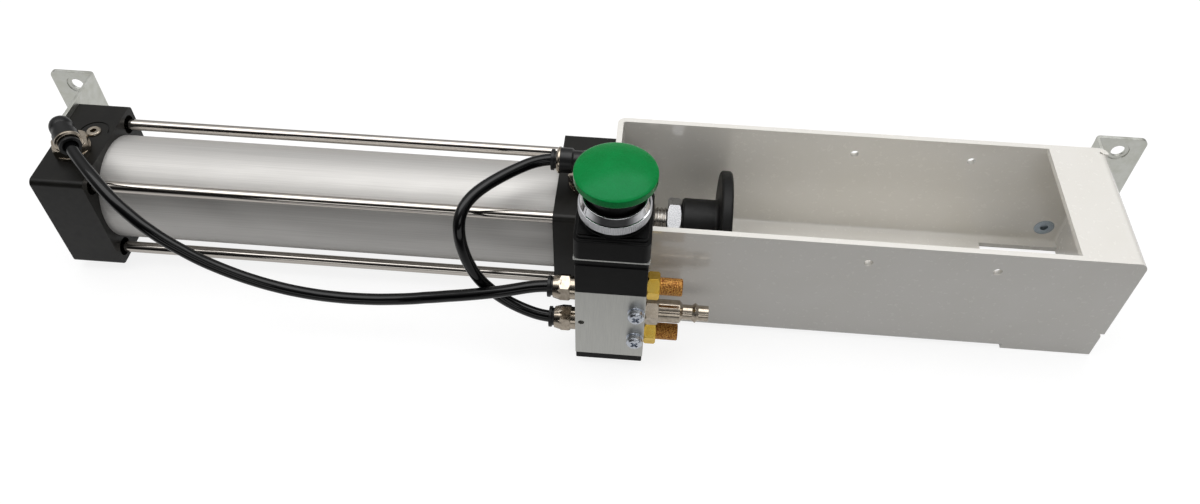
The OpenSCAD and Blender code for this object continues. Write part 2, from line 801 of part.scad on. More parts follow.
// Brackets
module bracket_corners(x_free, x_inner) {
    // outline in the wall's plane, round at the tab's free corners
    s = x_free < x_inner ? 1 : -1;
    l = abs(x_inner - x_free);
    translate([(x_free + x_inner) / 2 + s * tab_corner_r, 0])
        soft_square(l + 2 * tab_corner_r, bracket_h, tab_corner_r);
}

module wall_hole(x) {
    for (z = [-wall_hole_up, wall_hole_up]) translate([x, axis_to_wall - bracket_t, z]) along_y() {
        translate([0, 0, -over]) cylinder(d = wall_bolt_d, h = bracket_t + 2 * over);
        translate([0, 0, -over]) cylinder(d = hole_dish_d, h = over + hole_dish);
    }
}

module rear_bracket() {
    b = bracket_bend_in + bracket_t;
    y0 = axis_to_wall - rear_leg_reach;
    color([0.69, 0.70, 0.66]) place() difference() {
        intersection() {
            translate([0, 0, -bracket_h / 2]) linear_extrude(bracket_h) {
                translate([-bracket_t, y0]) square([bracket_t, rear_leg_reach - b]);
                translate([-tab_len, axis_to_wall - bracket_t]) square([tab_len - b, bracket_t]);
                translate([-b, axis_to_wall - b]) bend(bracket_bend_in, bracket_t, 1, 1);
            }
            translate([0, axis_to_wall + over, 0]) rotate([90, 0, 0]) linear_extrude(rear_leg_reach + 2 * over)
                bracket_corners(-tab_len, 0);
        }
        wall_hole(-tab_len + wall_hole_in);
        for (z = [-tie_pitch / 2, tie_pitch / 2])
            translate([0, tie_pitch / 2, z]) tube_x(-bracket_t - over, nut_screw_d + 2 * bolt_gap, bracket_t + 2 * over);
    }
}

module rear_bracket_screws() {
    color([0.72, 0.73, 0.74]) place() for (z = [-tie_pitch / 2, tie_pitch / 2])
        translate([-bracket_t, tie_pitch / 2, z]) socket_screw(bracket_t + screw_bite);
}

module end_bracket() {
    b = bracket_bend_in + bracket_t;
    y0 = trough_w / 2;
    rise = axis_to_wall - y0;
    color([0.69, 0.70, 0.66]) place() difference() {
        intersection() {
            translate([end_x, 0, -bracket_h / 2]) linear_extrude(bracket_h) {
                // flange on the trough's back wall, riser and wall tab
                translate([-end_flange_len, y0]) square([end_flange_len - b, bracket_t]);
                translate([-b, y0 + b]) bend(bracket_bend_in, bracket_t, 1, -1);
                translate([-bracket_t, y0 + b]) square([bracket_t, rise - 2 * b]);
                translate([-bracket_t + b, y0 + rise - b]) bend(bracket_bend_in, bracket_t, -1, 1);
                translate([-bracket_t + b, y0 + rise - bracket_t]) square([tab_len - b + bracket_t, bracket_t]);
            }
            translate([0, axis_to_wall + over, 0]) rotate([90, 0, 0]) linear_extrude(rise + 2 * over)
                bracket_corners(end_x + tab_len, end_x - end_flange_len);
        }
        wall_hole(end_x + tab_len - wall_hole_in);
        for (z = [-end_screw_up, end_screw_up]) translate([end_x - end_screw_in, y0 - over, z])
            along_y() cylinder(d = end_screw_d + 2 * bolt_gap, h = bracket_t + 2 * over);
    }
}

module end_bracket_screws() {
    l = sheet_t + bracket_t + end_nut_h;
    color([0.62, 0.62, 0.62]) place() for (z = [-end_screw_up, end_screw_up])
        translate([end_x - end_screw_in, trough_w / 2 - sheet_t, z]) along_y() difference() {
            union() {
                cylinder(d = end_screw_d, h = l);
                rotate_extrude() polygon([[0, 0], [csk_head_d / 2, 0], [end_screw_d / 2, csk_head_h], [0, csk_head_h]]);
            }
            translate([0, 0, -over]) cylinder(d = socket_af / cos(30) * 4 / 5, h = over + csk_head_h / 2, $fn = 6);
        }
}

module end_bracket_nuts() {
    color([0.66, 0.66, 0.66]) place() for (z = [-end_screw_up, end_screw_up])
        translate([end_x - end_screw_in, trough_w / 2 + bracket_t, z]) along_y() difference() {
            hex_bar(end_nut_af, end_nut_h, hex_edge);
            translate([0, 0, -over]) cylinder(d = end_screw_d + 2 * seat_gap, h = end_nut_h + 2 * over);
        }
}

// Valve
module valve_slab(z, h, w, front_y, back_y, edge) {
    translate([valve_x, (front_y + back_y) / 2, z]) linear_extrude(h) soft_square(w, back_y - front_y, edge);
}

module valve_ports() {
    for (z = [exhaust_up, supply_up, exhaust_low]) translate([0, valve_port_y, valve_z + z]) {
        tube_x(inlet_x - valve_port_depth, valve_port_d, valve_port_depth + over);
        tube_x(valve_x, valve_passage_d, valve_w / 2);
    }
    for (z = [outlet_up, outlet_low]) translate([0, valve_port_y, valve_z + z]) {
        tube_x(outlet_x - over, valve_port_d, valve_port_depth + over);
        tube_x(outlet_x, valve_passage_d, valve_w / 2);
    }
}

module valve_body() {
    color([0.66, 0.66, 0.64]) place() difference() {
        valve_slab(valve_z, valve_h, valve_w, valve_front_y, wall_y, valve_edge);
        translate([valve_x, spool_y, valve_z - over]) cylinder(d = spool_bore_d, h = valve_h + 2 * over);
        valve_ports();
        for (z = [mount_screw_high, mount_screw_low])
            translate([valve_x + mount_screw_right, valve_front_y - over, valve_z + z])
                along_y() cylinder(d = mount_screw_d + 2 * bolt_gap, h = valve_depth + 2 * over);
        // small blind hole in the front face between the outlets
        translate([outlet_x + side_plug_d, valve_front_y - over, valve_z + (outlet_up + outlet_low) / 2])
            along_y() cylinder(d = side_plug_d, h = side_plug_d + over);
    }
}

module valve_end_cap() {
    color([0.09, 0.09, 0.08]) place() difference() {
        valve_slab(valve_z - end_cap_h, end_cap_h, valve_w - valve_edge, valve_front_y + valve_edge / 2,
            wall_y - valve_edge / 2, valve_edge);
        translate([valve_x, spool_y, valve_z - end_cap_cavity]) cylinder(d = spool_bore_d, h = end_cap_cavity + over);
    }
}

module valve_head_block() {
    color([0.10, 0.10, 0.10]) place() difference() {
        union() {
            valve_slab(block_z, head_block_h - block_band_h, valve_w, valve_front_y, wall_y, valve_edge);
            valve_slab(block_z, head_block_h, valve_w - 2 * block_band_in, valve_front_y + block_band_in, wall_y - block_band_in,
                valve_edge);
        }
        translate([valve_x, spool_y, block_z - over]) cylinder(d = spool_tip_d + 2 * run_gap, h = head_block_h + 2 * over);
        translate([valve_x, spool_y, plate_z - block_cavity_depth]) cylinder(d = block_cavity_d, h = block_cavity_depth + over);
    }
}

module valve_gasket_plate() {
    color([0.55, 0.55, 0.53]) place() difference() {
        valve_slab(plate_z, plate_h, valve_w + plate_front / 2, valve_front_y - plate_front, wall_y, valve_edge);
        translate([valve_x, spool_y, plate_z - over]) cylinder(d = block_cavity_d, h = plate_h + 2 * over);
    }
}

module button_housing() {
    back = valve_front_y - housing_front + housing_side;
    color([0.12, 0.12, 0.13]) place() difference() {
        union() {
            valve_slab(housing_z, housing_h - housing_top_edge, housing_side, valve_front_y - housing_front, back, housing_edge_r);
            valve_slab(housing_z, housing_h, housing_side - 2 * housing_top_edge,
                valve_front_y - housing_front + housing_top_edge, back - housing_top_edge, housing_edge_r - housing_top_edge);
            translate([valve_x, spool_y, housing_z]) cylinder(d = collar_d, h = housing_h + collar_h);
        }
        translate([valve_x, spool_y, housing_z - over]) cylinder(d = guide_d + 2 * run_gap, h = housing_h + 2 * over);
        translate([valve_x, spool_y, housing_z + housing_floor]) cylinder(d = housing_bore_d, h = housing_h + collar_h);
    }
}

module button_ring() {
    r = ring_d / 2;
    e = ring_edge;
    color([0.78, 0.78, 0.80]) place() translate([valve_x, spool_y, ring_z]) difference() {
        rotate_extrude() polygon([[ring_bore_d / 2, 0], [r - e, 0], [r, e], [r, ring_band_h - e],
            [r - e, ring_band_h], [ring_top_d / 2, ring_h], [ring_lip_d / 2, ring_h], [ring_bore_d / 2, ring_band_h]]);
        // knurling
        for (i = [0 : knurl_count - 1]) rotate([0, 0, i * 360 / knurl_count])
            translate([r, 0, -over]) cylinder(d = 2 * knurl_depth, h = ring_band_h + over, $fn = 4);
    }
}

module button_head() {
    r = mushroom_d / 2;
    // radius of the crown's sphere through the rim
    crown_r = (r * r + crown_h * crown_h) / (2 * crown_h);
    color([0.0, 0.42, 0.16]) place() translate([valve_x, spool_y, head_z]) rotate_extrude($fn = 96) {
        polygon([[0, 0], [r - rim_taper, 0], [r, rim_taper], [r, rim_h], [0, rim_h]]);
        intersection() {
            translate([0, rim_h + crown_h - crown_r]) circle(r = crown_r, $fn = 192);
            translate([0, rim_h / 2]) square([r, crown_h + rim_h]);
        }
    }
}

module button_plunger() {
    guide_z = housing_z + plate_h;
    tip_z = plate_z - block_cavity_depth + button_travel + over;
    neck_z = housing_z + housing_floor + button_travel + over;
    g = guide_d / 2;
    n = neck_d / 2;
    color([0.06, 0.06, 0.06]) place() translate([valve_x, spool_y, 0]) rotate_extrude() polygon([
        [0, tip_z], [plunger_tip_d / 2, tip_z], [plunger_tip_d / 2, guide_z + button_travel],
        [g, guide_z + button_travel], [g, neck_z], [n, neck_z],
        [n, head_z - neck_flare_h], [neck_flare_d / 2, head_z], [0, head_z]]);
}

module valve_spool() {
    tip_z = plate_z - block_cavity_depth + button_travel + over;
    top = valve_z + valve_h - button_travel - 2 * over;
    low = valve_z + spool_low;
    step = (top - low - spool_land_len) / 4;
    color([0.70, 0.70, 0.72]) place() translate([valve_x, spool_y, 0]) {
        difference() {
            union() {
                translate([0, 0, low]) cylinder(d = spool_core_d, h = top - low);
                translate([0, 0, top - over]) cylinder(d = spool_tip_d, h = tip_z - top + over);
                for (i = [0 : 4]) translate([0, 0, low + i * step]) cylinder(d = spool_land_d, h = spool_land_len);
            }
            for (i = [0 : 4]) translate([0, 0, low + i * step + spool_land_len / 2]) rotate_extrude()
                translate([spool_bore_d / 2 - spool_seal_d / 2 - seat_gap, 0]) square([2 * spool_seal_d, spool_seal_d], center = true);
        }
    }
}

module spool_seals() {
    top = valve_z + valve_h - button_travel - 2 * over;
    low = valve_z + spool_low;
    step = (top - low - spool_land_len) / 4;
    color([0.05, 0.05, 0.05]) place() translate([valve_x, spool_y, 0])
        for (i = [0 : 4]) translate([0, 0, low + i * step + spool_land_len / 2]) rotate_extrude()
            translate([spool_bore_d / 2 - spool_seal_d / 2 - seat_gap, 0])
                circle(d = spool_seal_d - 2 * seat_gap, $fn = 24);
}

// A round wire swept along listed points, with flat ends square to it
function unit(v) = v / norm(v);
function way(p, i) = i == 0 ? unit(p[1] - p[0])
    : i == len(p) - 1 ? unit(p[i] - p[i - 1])
    : unit(unit(p[i] - p[i - 1]) + unit(p[i + 1] - p[i]));
function sides(p, i, n) = i == len(p) ? []
    : let (t = way(p, i), m = unit(n - (n * t) * t)) concat([m], sides(p, i + 1, m));

module swept(p, r, n, start) {
    m = sides(p, 0, start);
    points = [for (i = [0 : len(p) - 1])
        let (b = cross(way(p, i), m[i]))
            for (k = [0 : n - 1]) p[i] + r * (cos(360 * k / n) * m[i] + sin(360 * k / n) * b)];
    last = (len(p) - 1) * n;
    faces = concat(
        [[for (k = [0 : n - 1]) n - 1 - k]],
        [[for (k = [0 : n - 1]) last + k]],
        [for (i = [0 : len(p) - 2]) for (k = [0 : n - 1]) [i * n + k, i * n + (k + 1) % n, (i + 1) * n + k]],
        [for (i = [0 : len(p) - 2]) for (k = [0 : n - 1]) [i * n + (k + 1) % n, (i + 1) * n + (k + 1) % n, (i + 1) * n + k]]);
    polyhedron(points = points, faces = [for (f = faces) [for (k = [len(f) - 1 : -1 : 0]) f[k]]], convexity = 6);
}

module return_spring() {
    low = valve_z - end_cap_cavity + spring_wire / 2;
    high = valve_z + spool_low - spring_wire / 2;
    count = spring_turns * spring_steps;
    r = (spring_d - spring_wire) / 2;
    color([0.65, 0.65, 0.62]) place() translate([valve_x, spool_y, 0])
        swept([for (i = [0 : count]) [r * cos(360 * i / spring_steps), r * sin(360 * i / spring_steps), low + (high - low) * i / count]],
            spring_wire / 2, spring_sides, [0, 0, 1]);
}

// Valve screws, drawn with the head's seat at the origin and the shank towards +Y
module at_valve_screws() {
    for (z = [mount_screw_high, mount_screw_low])
        translate([valve_x + mount_screw_right, valve_front_y, valve_z + z]) along_y() children();
}

module valve_screws() {
    seat = spring_washer_t + flat_washer_t;
    color([0.78, 0.80, 0.84]) place() at_valve_screws() translate([0, 0, -seat]) difference() {
        union() {
            cylinder(d = mount_screw_d, h = seat + valve_depth + sheet_t + screw_through);
            translate([0, 0, -pan_head_h]) rotate_extrude() polygon([[0, 0], [pan_head_d / 2 - pan_edge, 0],
                [pan_head_d / 2, pan_edge], [pan_head_d / 2, pan_head_h], [0, pan_head_h]]);
        }
        for (a = [0, 90]) rotate([0, 0, a + 45]) translate([-cross_l / 2, -cross_w / 2, -pan_head_h - over])
            cube([cross_l, cross_w, cross_depth + over]);
    }
}

module valve_spring_washers() {
    color([0.55, 0.60, 0.66]) place() at_valve_screws() translate([0, 0, -flat_washer_t - spring_washer_t]) difference() {
        cylinder(d = spring_washer_d, h = spring_washer_t);
        translate([0, 0, -over]) cylinder(d = mount_screw_d + 2 * bolt_gap, h = spring_washer_t + 2 * over);
        translate([0, -spring_washer_slit / 2, -over]) cube([spring_washer_d, spring_washer_slit, spring_washer_t + 2 * over]);
    }
}

module valve_flat_washers() {
    color([0.70, 0.72, 0.76]) place() at_valve_screws() translate([0, 0, -flat_washer_t]) difference() {
        cylinder(d = flat_washer_d, h = flat_washer_t);
        translate([0, 0, -over]) cylinder(d = mount_screw_d + 2 * bolt_gap, h = flat_washer_t + 2 * over);
    }
}

// Push-in fittings
module at_outlets(upper = true, lower = true) {
    if (upper) translate([outlet_x, valve_port_y, valve_z + outlet_up]) rotate([0, -90, 0]) children();
    if (lower) translate([outlet_x, valve_port_y, valve_z + outlet_low]) rotate([0, -90, 0]) children();
}

// A collet on Z, its mouth up and its seat in the fitting's mouth at the origin
module collet() {
    bore = hose_d + 2 * collet_bore_gap;
    translate([0, 0, collet_travel]) rotate_extrude() polygon([
        [bore / 2, -collet_travel - collet_sleeve_len], [collet_d / 2 - collet_flare, -collet_travel - collet_sleeve_len],
        [collet_d / 2, -collet_travel - collet_sleeve_len + collet_flare], [collet_d / 2, 0], [collet_flange_d / 2, 0],
        [collet_flange_d / 2, collet_flange_t], [bore / 2 + collet_flare, collet_flange_t], [bore / 2, collet_flange_t - collet_flare]]);
}

// The bore that takes a collet and a hose, cut down from a mouth at the origin
module collet_bore(through_d, through_len) {
    translate([0, 0, -collet_sleeve_len - 2 * collet_travel])
        cylinder(d = collet_d + 2 * run_gap, h = collet_sleeve_len + 2 * collet_travel + over);
    translate([0, 0, -hose_stop]) cylinder(d = hose_d + 2 * collet_bore_gap, h = hose_stop);
    translate([0, 0, -through_len]) cylinder(d = through_d, h = through_len);
}

module tube_fittings() {
    color([0.66, 0.60, 0.52]) place() at_outlets() difference() {
        union() {
            translate([0, 0, -shank_len]) cylinder(d = valve_port_d - 2 * thread_gap, h = shank_len + over);
            cylinder(d = fitting_collar_d, h = fitting_collar_len + over);
            translate([0, 0, fitting_collar_len]) rotate([0, 0, hex_turn]) hex_bar(fitting_af, fitting_hex_len, hex_edge);
            translate([0, 0, fitting_collar_len + fitting_hex_len - over]) rotate_extrude() polygon([[0, 0],
                [fitting_nose_d / 2, 0], [fitting_nose_d / 2, over], [fitting_nose_d / 2 - hex_edge, fitting_nose_len + over],
                [0, fitting_nose_len + over]]);
        }
        translate([0, 0, fitting_mouth]) collet_bore(fitting_through_d, fitting_mouth + shank_len + over);
    }
}

module collet_upper() {
    color([0.06, 0.06, 0.06]) place() at_outlets(lower = false) translate([0, 0, fitting_mouth]) collet();
}

module collet_lower() {
    color([0.06, 0.06, 0.06]) place() at_outlets(upper = false) translate([0, 0, fitting_mouth]) collet();
}

module at_rear_port() translate([rear_port_x, -port_off, cap_side / 2]) children();
module at_front_port() translate([front_port_x, -port_off, cap_side / 2]) children();

module elbow_base() {
    difference() {
        union() {
            translate([0, 0, -elbow_shank_len]) cylinder(d = port_thread_d - 2 * thread_gap, h = elbow_shank_len + over);
            cylinder(d = elbow_flange_d, h = elbow_flange_h);
            hex_bar(elbow_af, elbow_hex_h, hex_edge);
            cylinder(d = elbow_neck_d, h = elbow_rise - elbow_through_d);
        }
        translate([0, 0, -elbow_shank_len - over]) cylinder(d = elbow_through_d, h = elbow_rise + elbow_shank_len + 2 * over);
    }
}

module elbow_bases() {
    color([0.66, 0.60, 0.52]) place() {
        at_rear_port() elbow_base();
        at_front_port() elbow_base();
    }
}

// The plastic body: an upright barrel with a round top, and the arm along the turn's direction
module elbow_body(turn) {
    low = elbow_hex_h + elbow_skirt_gap;
    r = elbow_d / 2;
    difference() {
        union() {
            rotate_extrude() {
                translate([0, low]) square([r, elbow_rise - low]);
                intersection() {
                    translate([0, elbow_rise]) circle(r = r);
                    translate([0, low]) square([r, elbow_rise]);
                }
            }
            translate([0, 0, elbow_rise]) rotate([0, 90, turn]) rotate_extrude() polygon([[0, 0], [elbow_link_d / 2, 0],
                [elbow_link_d / 2, elbow_shoulder], [elbow_arm_d / 2 - elbow_shoulder_edge, elbow_shoulder],
                [elbow_arm_d / 2, elbow_shoulder + elbow_shoulder_edge], [elbow_arm_d / 2, elbow_arm], [0, elbow_arm]]);
        }
        translate([0, 0, low - over]) cylinder(d = elbow_neck_d + 2 * run_gap, h = elbow_rise - elbow_through_d - low + 2 * over);
        translate([0, 0, low]) cylinder(d = elbow_through_d, h = elbow_rise + elbow_through_d / 2 - low);
        translate([0, 0, elbow_rise]) rotate([0, 90, turn]) translate([0, 0, elbow_mouth])
            collet_bore(elbow_arm_through_d, elbow_mouth);
    }
}

module elbow_bodies() {
    color([0.10, 0.10, 0.11]) place() {
        at_rear_port() elbow_body(rear_elbow_turn);
        at_front_port() elbow_body(front_elbow_turn);
    }
}

module elbow_ring(turn) {
    translate([0, 0, elbow_rise]) rotate([0, 90, turn]) translate([0, 0, elbow_arm]) difference() {
        rotate_extrude() polygon([[0, 0], [elbow_ring_d / 2, 0], [elbow_ring_d / 2, elbow_ring_len / 2],
            [elbow_ring_d / 2 - elbow_ring_len / 2, elbow_ring_len], [0, elbow_ring_len]]);
        translate([0, 0, -over]) cylinder(d = collet_d + 2 * run_gap, h = elbow_ring_len + 2 * over);
    }
}

module elbow_rings() {
    color([0.75, 0.70, 0.60]) place() {
        at_rear_port() elbow_ring(rear_elbow_turn);
        at_front_port() elbow_ring(front_elbow_turn);
    }
}

module elbow_collet(turn) {
    translate([0, 0, elbow_rise]) rotate([0, 90, turn]) translate([0, 0, elbow_mouth]) collet();
}

module collet_rear() {
    color([0.06, 0.06, 0.06]) place() at_rear_port() elbow_collet(rear_elbow_turn);
}

module collet_front() {
    color([0.06, 0.06, 0.06]) place() at_front_port() elbow_collet(front_elbow_turn);
}

// Exhausts and inlet
module at_inlets(heights) {
    for (z = heights) translate([inlet_x, valve_port_y, valve_z + z]) along_x() children();
}

module silencer_bases() {
    color([0.74, 0.60, 0.22]) place() at_inlets([exhaust_up, exhaust_low]) difference() {
        union() {
            translate([0, 0, -shank_len]) cylinder(d = valve_port_d - 2 * thread_gap, h = shank_len + over);
            rotate([0, 0, hex_turn]) hex_bar(fitting_af, silencer_hex_len, hex_edge);
        }
        translate([0, 0, -shank_len - over]) cylinder(d = valve_passage_d, h = shank_len + silencer_hex_len + 2 * over);
    }
}

module silencer_elements() {
    r = silencer_d / 2;
    color([0.70, 0.45, 0.18]) place() at_inlets([exhaust_up, exhaust_low]) difference() {
        translate([0, 0, silencer_hex_len]) rotate_extrude() polygon([[0, 0], [r, 0], [r, silencer_len - silencer_edge],
            [r - silencer_edge, silencer_len], [0, silencer_len]]);
        translate([0, 0, silencer_hex_len - over]) cylinder(d = valve_passage_d, h = silencer_len / 2 + over);
    }
}

module air_plug() {
    a = plug_hex_len;
    b = a + plug_barrel_len;
    c = b + plug_taper + plug_neck_len;
    d = c + plug_collar_len;
    e = d + plug_nose_len;
    n = plug_neck_d / 2;
    p = plug_nose_d / 2;
    color([0.66, 0.60, 0.53]) place() at_inlets([supply_up]) difference() {
        union() {
            translate([0, 0, -shank_len]) cylinder(d = valve_port_d - 2 * thread_gap, h = shank_len + over);
            rotate([0, 0, hex_turn]) hex_bar(plug_hex_af, plug_hex_len, hex_edge);
            rotate_extrude() polygon([[0, a - over], [plug_barrel_d / 2, a - over], [plug_barrel_d / 2, b],
                [n, b + plug_taper], [n, c], [plug_collar_d / 2, c + plug_collar_len / 2], [p, d], [p, e], [0, e]]);
        }
        translate([0, 0, -shank_len - over]) cylinder(d = plug_bore_d, h = shank_len + e + 2 * over);
    }
}

// Hoses
function elbow_point(port_x, turn, reach) =
    [port_x + reach * cos(turn), -port_off + reach * sin(turn), elbow_z];
elbow_stop = elbow_mouth - hose_stop;
elbow_lead = elbow_mouth + hose_end + hose_d;
fitting_stop_x = outlet_x - fitting_mouth + hose_stop;
fitting_lead_x = outlet_x - fitting_mouth - hose_end - hose_d;

module hose_rear() {
    color([0.04, 0.04, 0.04]) place() swept(concat(
        [elbow_point(rear_port_x, rear_elbow_turn, elbow_stop), elbow_point(rear_port_x, rear_elbow_turn, elbow_lead)],
        rear_route_free,
        [[fitting_lead_x, valve_port_y, valve_z + outlet_up], [fitting_stop_x, valve_port_y, valve_z + outlet_up]]),
        hose_d / 2, hose_sides, [0, 0, 1]);
}

module hose_front() {
    color([0.04, 0.04, 0.04]) place() swept(concat(
        [elbow_point(front_port_x, front_elbow_turn, elbow_stop), elbow_point(front_port_x, front_elbow_turn, elbow_lead)],
        front_route_free,
        [[fitting_lead_x, valve_port_y, valve_z + outlet_low], [fitting_stop_x, valve_port_y, valve_z + outlet_low]]),
        hose_d / 2, hose_sides, [0, 0, 1]);
}

rear_cap();
front_cap();
cylinder_tube();
tie_rods();
tie_rod_nuts();
tube_seals();
rod_bushing();
rod_wiper();
cushion_needle_rear();
cushion_needle_front();
piston_rod();
piston();
piston_seals();
wear_ring();
cushion_sleeve();
piston_nut();
lock_nut();
crush_foot();
channel();
end_cover();
channel_screws();
rear_bracket();
rear_bracket_screws();
end_bracket();
end_bracket_screws();
end_bracket_nuts();
valve_body();
valve_end_cap();
valve_head_block();
valve_gasket_plate();
button_housing();
button_ring();
button_head();
button_plunger();
valve_spool();
spool_seals();
return_spring();
valve_screws();
valve_spring_washers();
valve_flat_washers();
tube_fittings();
collet_upper();
collet_lower();
elbow_bases();
elbow_bodies();
elbow_rings();
collet_rear();
collet_front();
silencer_bases();
silencer_elements();
air_plug();
hose_rear();
hose_front();
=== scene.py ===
"""Looks of a wall-mounted pneumatic can crusher: finishes, threads, knurling, hoses and the studio."""
import math

import bpy
import numpy as np
from mathutils import Matrix, Vector


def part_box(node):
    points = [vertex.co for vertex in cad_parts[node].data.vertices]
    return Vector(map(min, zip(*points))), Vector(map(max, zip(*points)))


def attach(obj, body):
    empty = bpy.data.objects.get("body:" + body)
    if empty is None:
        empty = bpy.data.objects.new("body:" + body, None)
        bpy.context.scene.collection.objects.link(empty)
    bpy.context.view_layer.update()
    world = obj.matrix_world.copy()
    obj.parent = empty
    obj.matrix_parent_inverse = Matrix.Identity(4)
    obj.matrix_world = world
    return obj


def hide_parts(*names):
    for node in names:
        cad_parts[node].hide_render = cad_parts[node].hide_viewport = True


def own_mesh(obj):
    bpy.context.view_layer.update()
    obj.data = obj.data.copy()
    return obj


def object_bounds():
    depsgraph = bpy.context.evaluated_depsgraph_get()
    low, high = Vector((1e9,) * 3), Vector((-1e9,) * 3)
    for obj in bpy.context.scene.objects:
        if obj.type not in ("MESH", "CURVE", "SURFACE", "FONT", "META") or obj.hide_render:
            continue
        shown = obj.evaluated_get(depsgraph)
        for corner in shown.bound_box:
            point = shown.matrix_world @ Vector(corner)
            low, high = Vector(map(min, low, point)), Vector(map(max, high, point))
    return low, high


bl_info = {
    "name": "Pneumatic can crusher",
    "version": (1, 0, 0),
    "blender": (4, 5, 0),
    "location": "View3D > Sidebar > Can crusher",
    "description": "Finishes, threads, hoses and studio of a wall-mounted pneumatic can crusher",
    "category": "Object",
}

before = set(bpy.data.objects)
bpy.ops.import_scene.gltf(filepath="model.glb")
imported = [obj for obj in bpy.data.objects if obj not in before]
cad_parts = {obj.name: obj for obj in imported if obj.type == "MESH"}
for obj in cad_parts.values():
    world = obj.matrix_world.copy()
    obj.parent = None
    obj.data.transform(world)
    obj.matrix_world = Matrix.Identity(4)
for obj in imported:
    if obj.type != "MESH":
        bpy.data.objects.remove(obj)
CAD_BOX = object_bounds()
MM = 0.001
# The cylinder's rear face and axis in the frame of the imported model
REAR_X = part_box("rear_cap")[0].x
AXIS_Y = (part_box("cylinder_tube")[0].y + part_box("cylinder_tube")[1].y) / 2

# Rod: the spigot that holds the piston, and the thread that holds the foot
SPIGOT_RADIUS = 7 * MM
THREAD_RADIUS = 8 * MM
THREAD_LENGTH = 34 * MM
THREAD_DEPTH = 0.85 * MM
FLANK_GAIN, CREST_FLAT = 1.25, 0.2  # a steeper wave, lowered, leaves flat crests and roots
SHOULDER_CHAMFER = 1 * MM
END_CHAMFER = 1.2 * MM
RUN_OUT_LENGTH, RUN_OUT_DEPTH = 1.5 * MM, 1.1 * MM
ROD_ROWS, THREAD_ROWS, ROD_COLUMNS = 60, 230, 72
ROW_GAP = 0.01 * MM
# Lock nut
NUT_BORE_RADIUS = 8.05 * MM
NUT_RIM_RADIUS = 9.2 * MM
NUT_CONE_STEP = 0.35 * MM  # how far the cone stands outside the flats at the nut's face
NUT_CONE_SLOPE = 1.73  # about the tangent of 60 degrees
NUT_CONE_SHARE = 0.2  # the share of the thickness that gets close rows at each face
NUT_CONE_ROWS, NUT_COLUMNS = 9, 192
# Push button, in mm where its name says so
BAND_MM = 4.6  # height of the ring's knurled band
HEAD_RIM_MM = 4.3  # height of the head's straight rim
HEAD_COLUMNS = 160
SPRING_WIRE = 0.5 * MM  # radius of the wire
SPRING_TURNS = 5


# Colours and node trees

def linear(colour):
    """sRGB hex code to linear RGBA: a channel plus 0.055, over 1.055, to the power 2.4, and a small channel
    over 12.92. A colour from the settings is linear already."""
    if not isinstance(colour, str):
        return tuple(colour)
    channel = np.array([int(colour[i:i + 2], 16) for i in (1, 3, 5)]) / 255
    curved = ((channel + 0.055) / 1.055) ** 2.4
    return (*np.where(channel <= 0.04045, channel / 12.92, curved).tolist(), 1.0)


def put(tree, kind, inputs=None, **settings):
    """Adds a node; inputs maps a socket's name or number to a value or to the output that feeds it."""
    node = tree.nodes.new(kind)
    for name, value in settings.items():
        setattr(node, name, value)
    for name, value in (inputs or {}).items():
        if isinstance(value, bpy.types.NodeSocket):
            tree.links.new(value, node.inputs[name])
        else:
            node.inputs[name].default_value = value
    return node


def span(value, start, end, low, high):
    """Inputs that turn the value's way from start to end into the way from low to high."""
    return {"Value": value, "From Min": start, "From Max": end, "To Min": low, "To Max": high}


NOISE_RANGE = (0.3, 0.7)  # nearly all of a noise's values lie between these


class Finish:
    """A material with one Principled shader, whose patterns follow the piece's own coordinates."""

    def __init__(self, name, **sockets):
        self.material = bpy.data.materials.new(name)
        self.material.use_nodes = True
        self.tree = self.material.node_tree
        self.tree.nodes.clear()
        values = {socket.replace("_", " "): value for socket, value in sockets.items()}
        self.shader = put(self.tree, "ShaderNodeBsdfPrincipled", values)
        self.output = put(self.tree, "ShaderNodeOutputMaterial", {"Surface": self.shader.outputs[0]})
        self.coords = put(self.tree, "ShaderNodeTexCoord").outputs["Object"]

    def feed(self, socket, value):
        """Links an output to a socket of the shader."""
        self.tree.links.new(value, self.shader.inputs[socket])

    def in_grains(self, size_mm):
        """Coordinates divided by the size of a grain, which is one number or one for each axis."""
        size = size_mm if isinstance(size_mm, tuple) else (size_mm,) * 3
        scale = tuple(1000 / s for s in size)
        return put(self.tree, "ShaderNodeMapping", {"Vector": self.coords, "Scale": scale}).outputs[0]

    def speckle(self, size_mm, detail=3.0, rough=0.55):
        """Noise whose grains are about size_mm."""
        inputs = {"Vector": self.in_grains(size_mm), "Scale": 1.0, "Detail": detail, "Roughness": rough}
        return put(self.tree, "ShaderNodeTexNoise", inputs).outputs["Fac"]

    def tones(self, factor, low, high, start=0.35, end=0.65):
        """Colours the piece from low to high as the factor goes from start to end; returns that colour."""
        node = put(self.tree, "ShaderNodeValToRGB", {0: factor})
        for stop, place, colour in zip(node.color_ramp.elements, (start, end), (low, high)):
            stop.position = place
            stop.color = linear(colour)
        self.feed("Base Color", node.outputs["Color"])
        return node.outputs["Color"]

    def sheen(self, factor, low, high):
        """Roughness from low to high as the noise goes over its range."""
        node = put(self.tree, "ShaderNodeMapRange", span(factor, *NOISE_RANGE, low, high))
        self.feed("Roughness", node.outputs[0])

    def relief(self, *layers):
        """Stacks bumps; each layer is (factor, height in mm)."""
        under = {}
        for factor, height in layers:
            inputs = {"Height": factor, "Distance": height * MM, "Strength": 1.0, **under}
            under = {"Normal": put(self.tree, "ShaderNodeBump", inputs).outputs[0]}
        self.feed("Normal", under["Normal"])


# Finishes

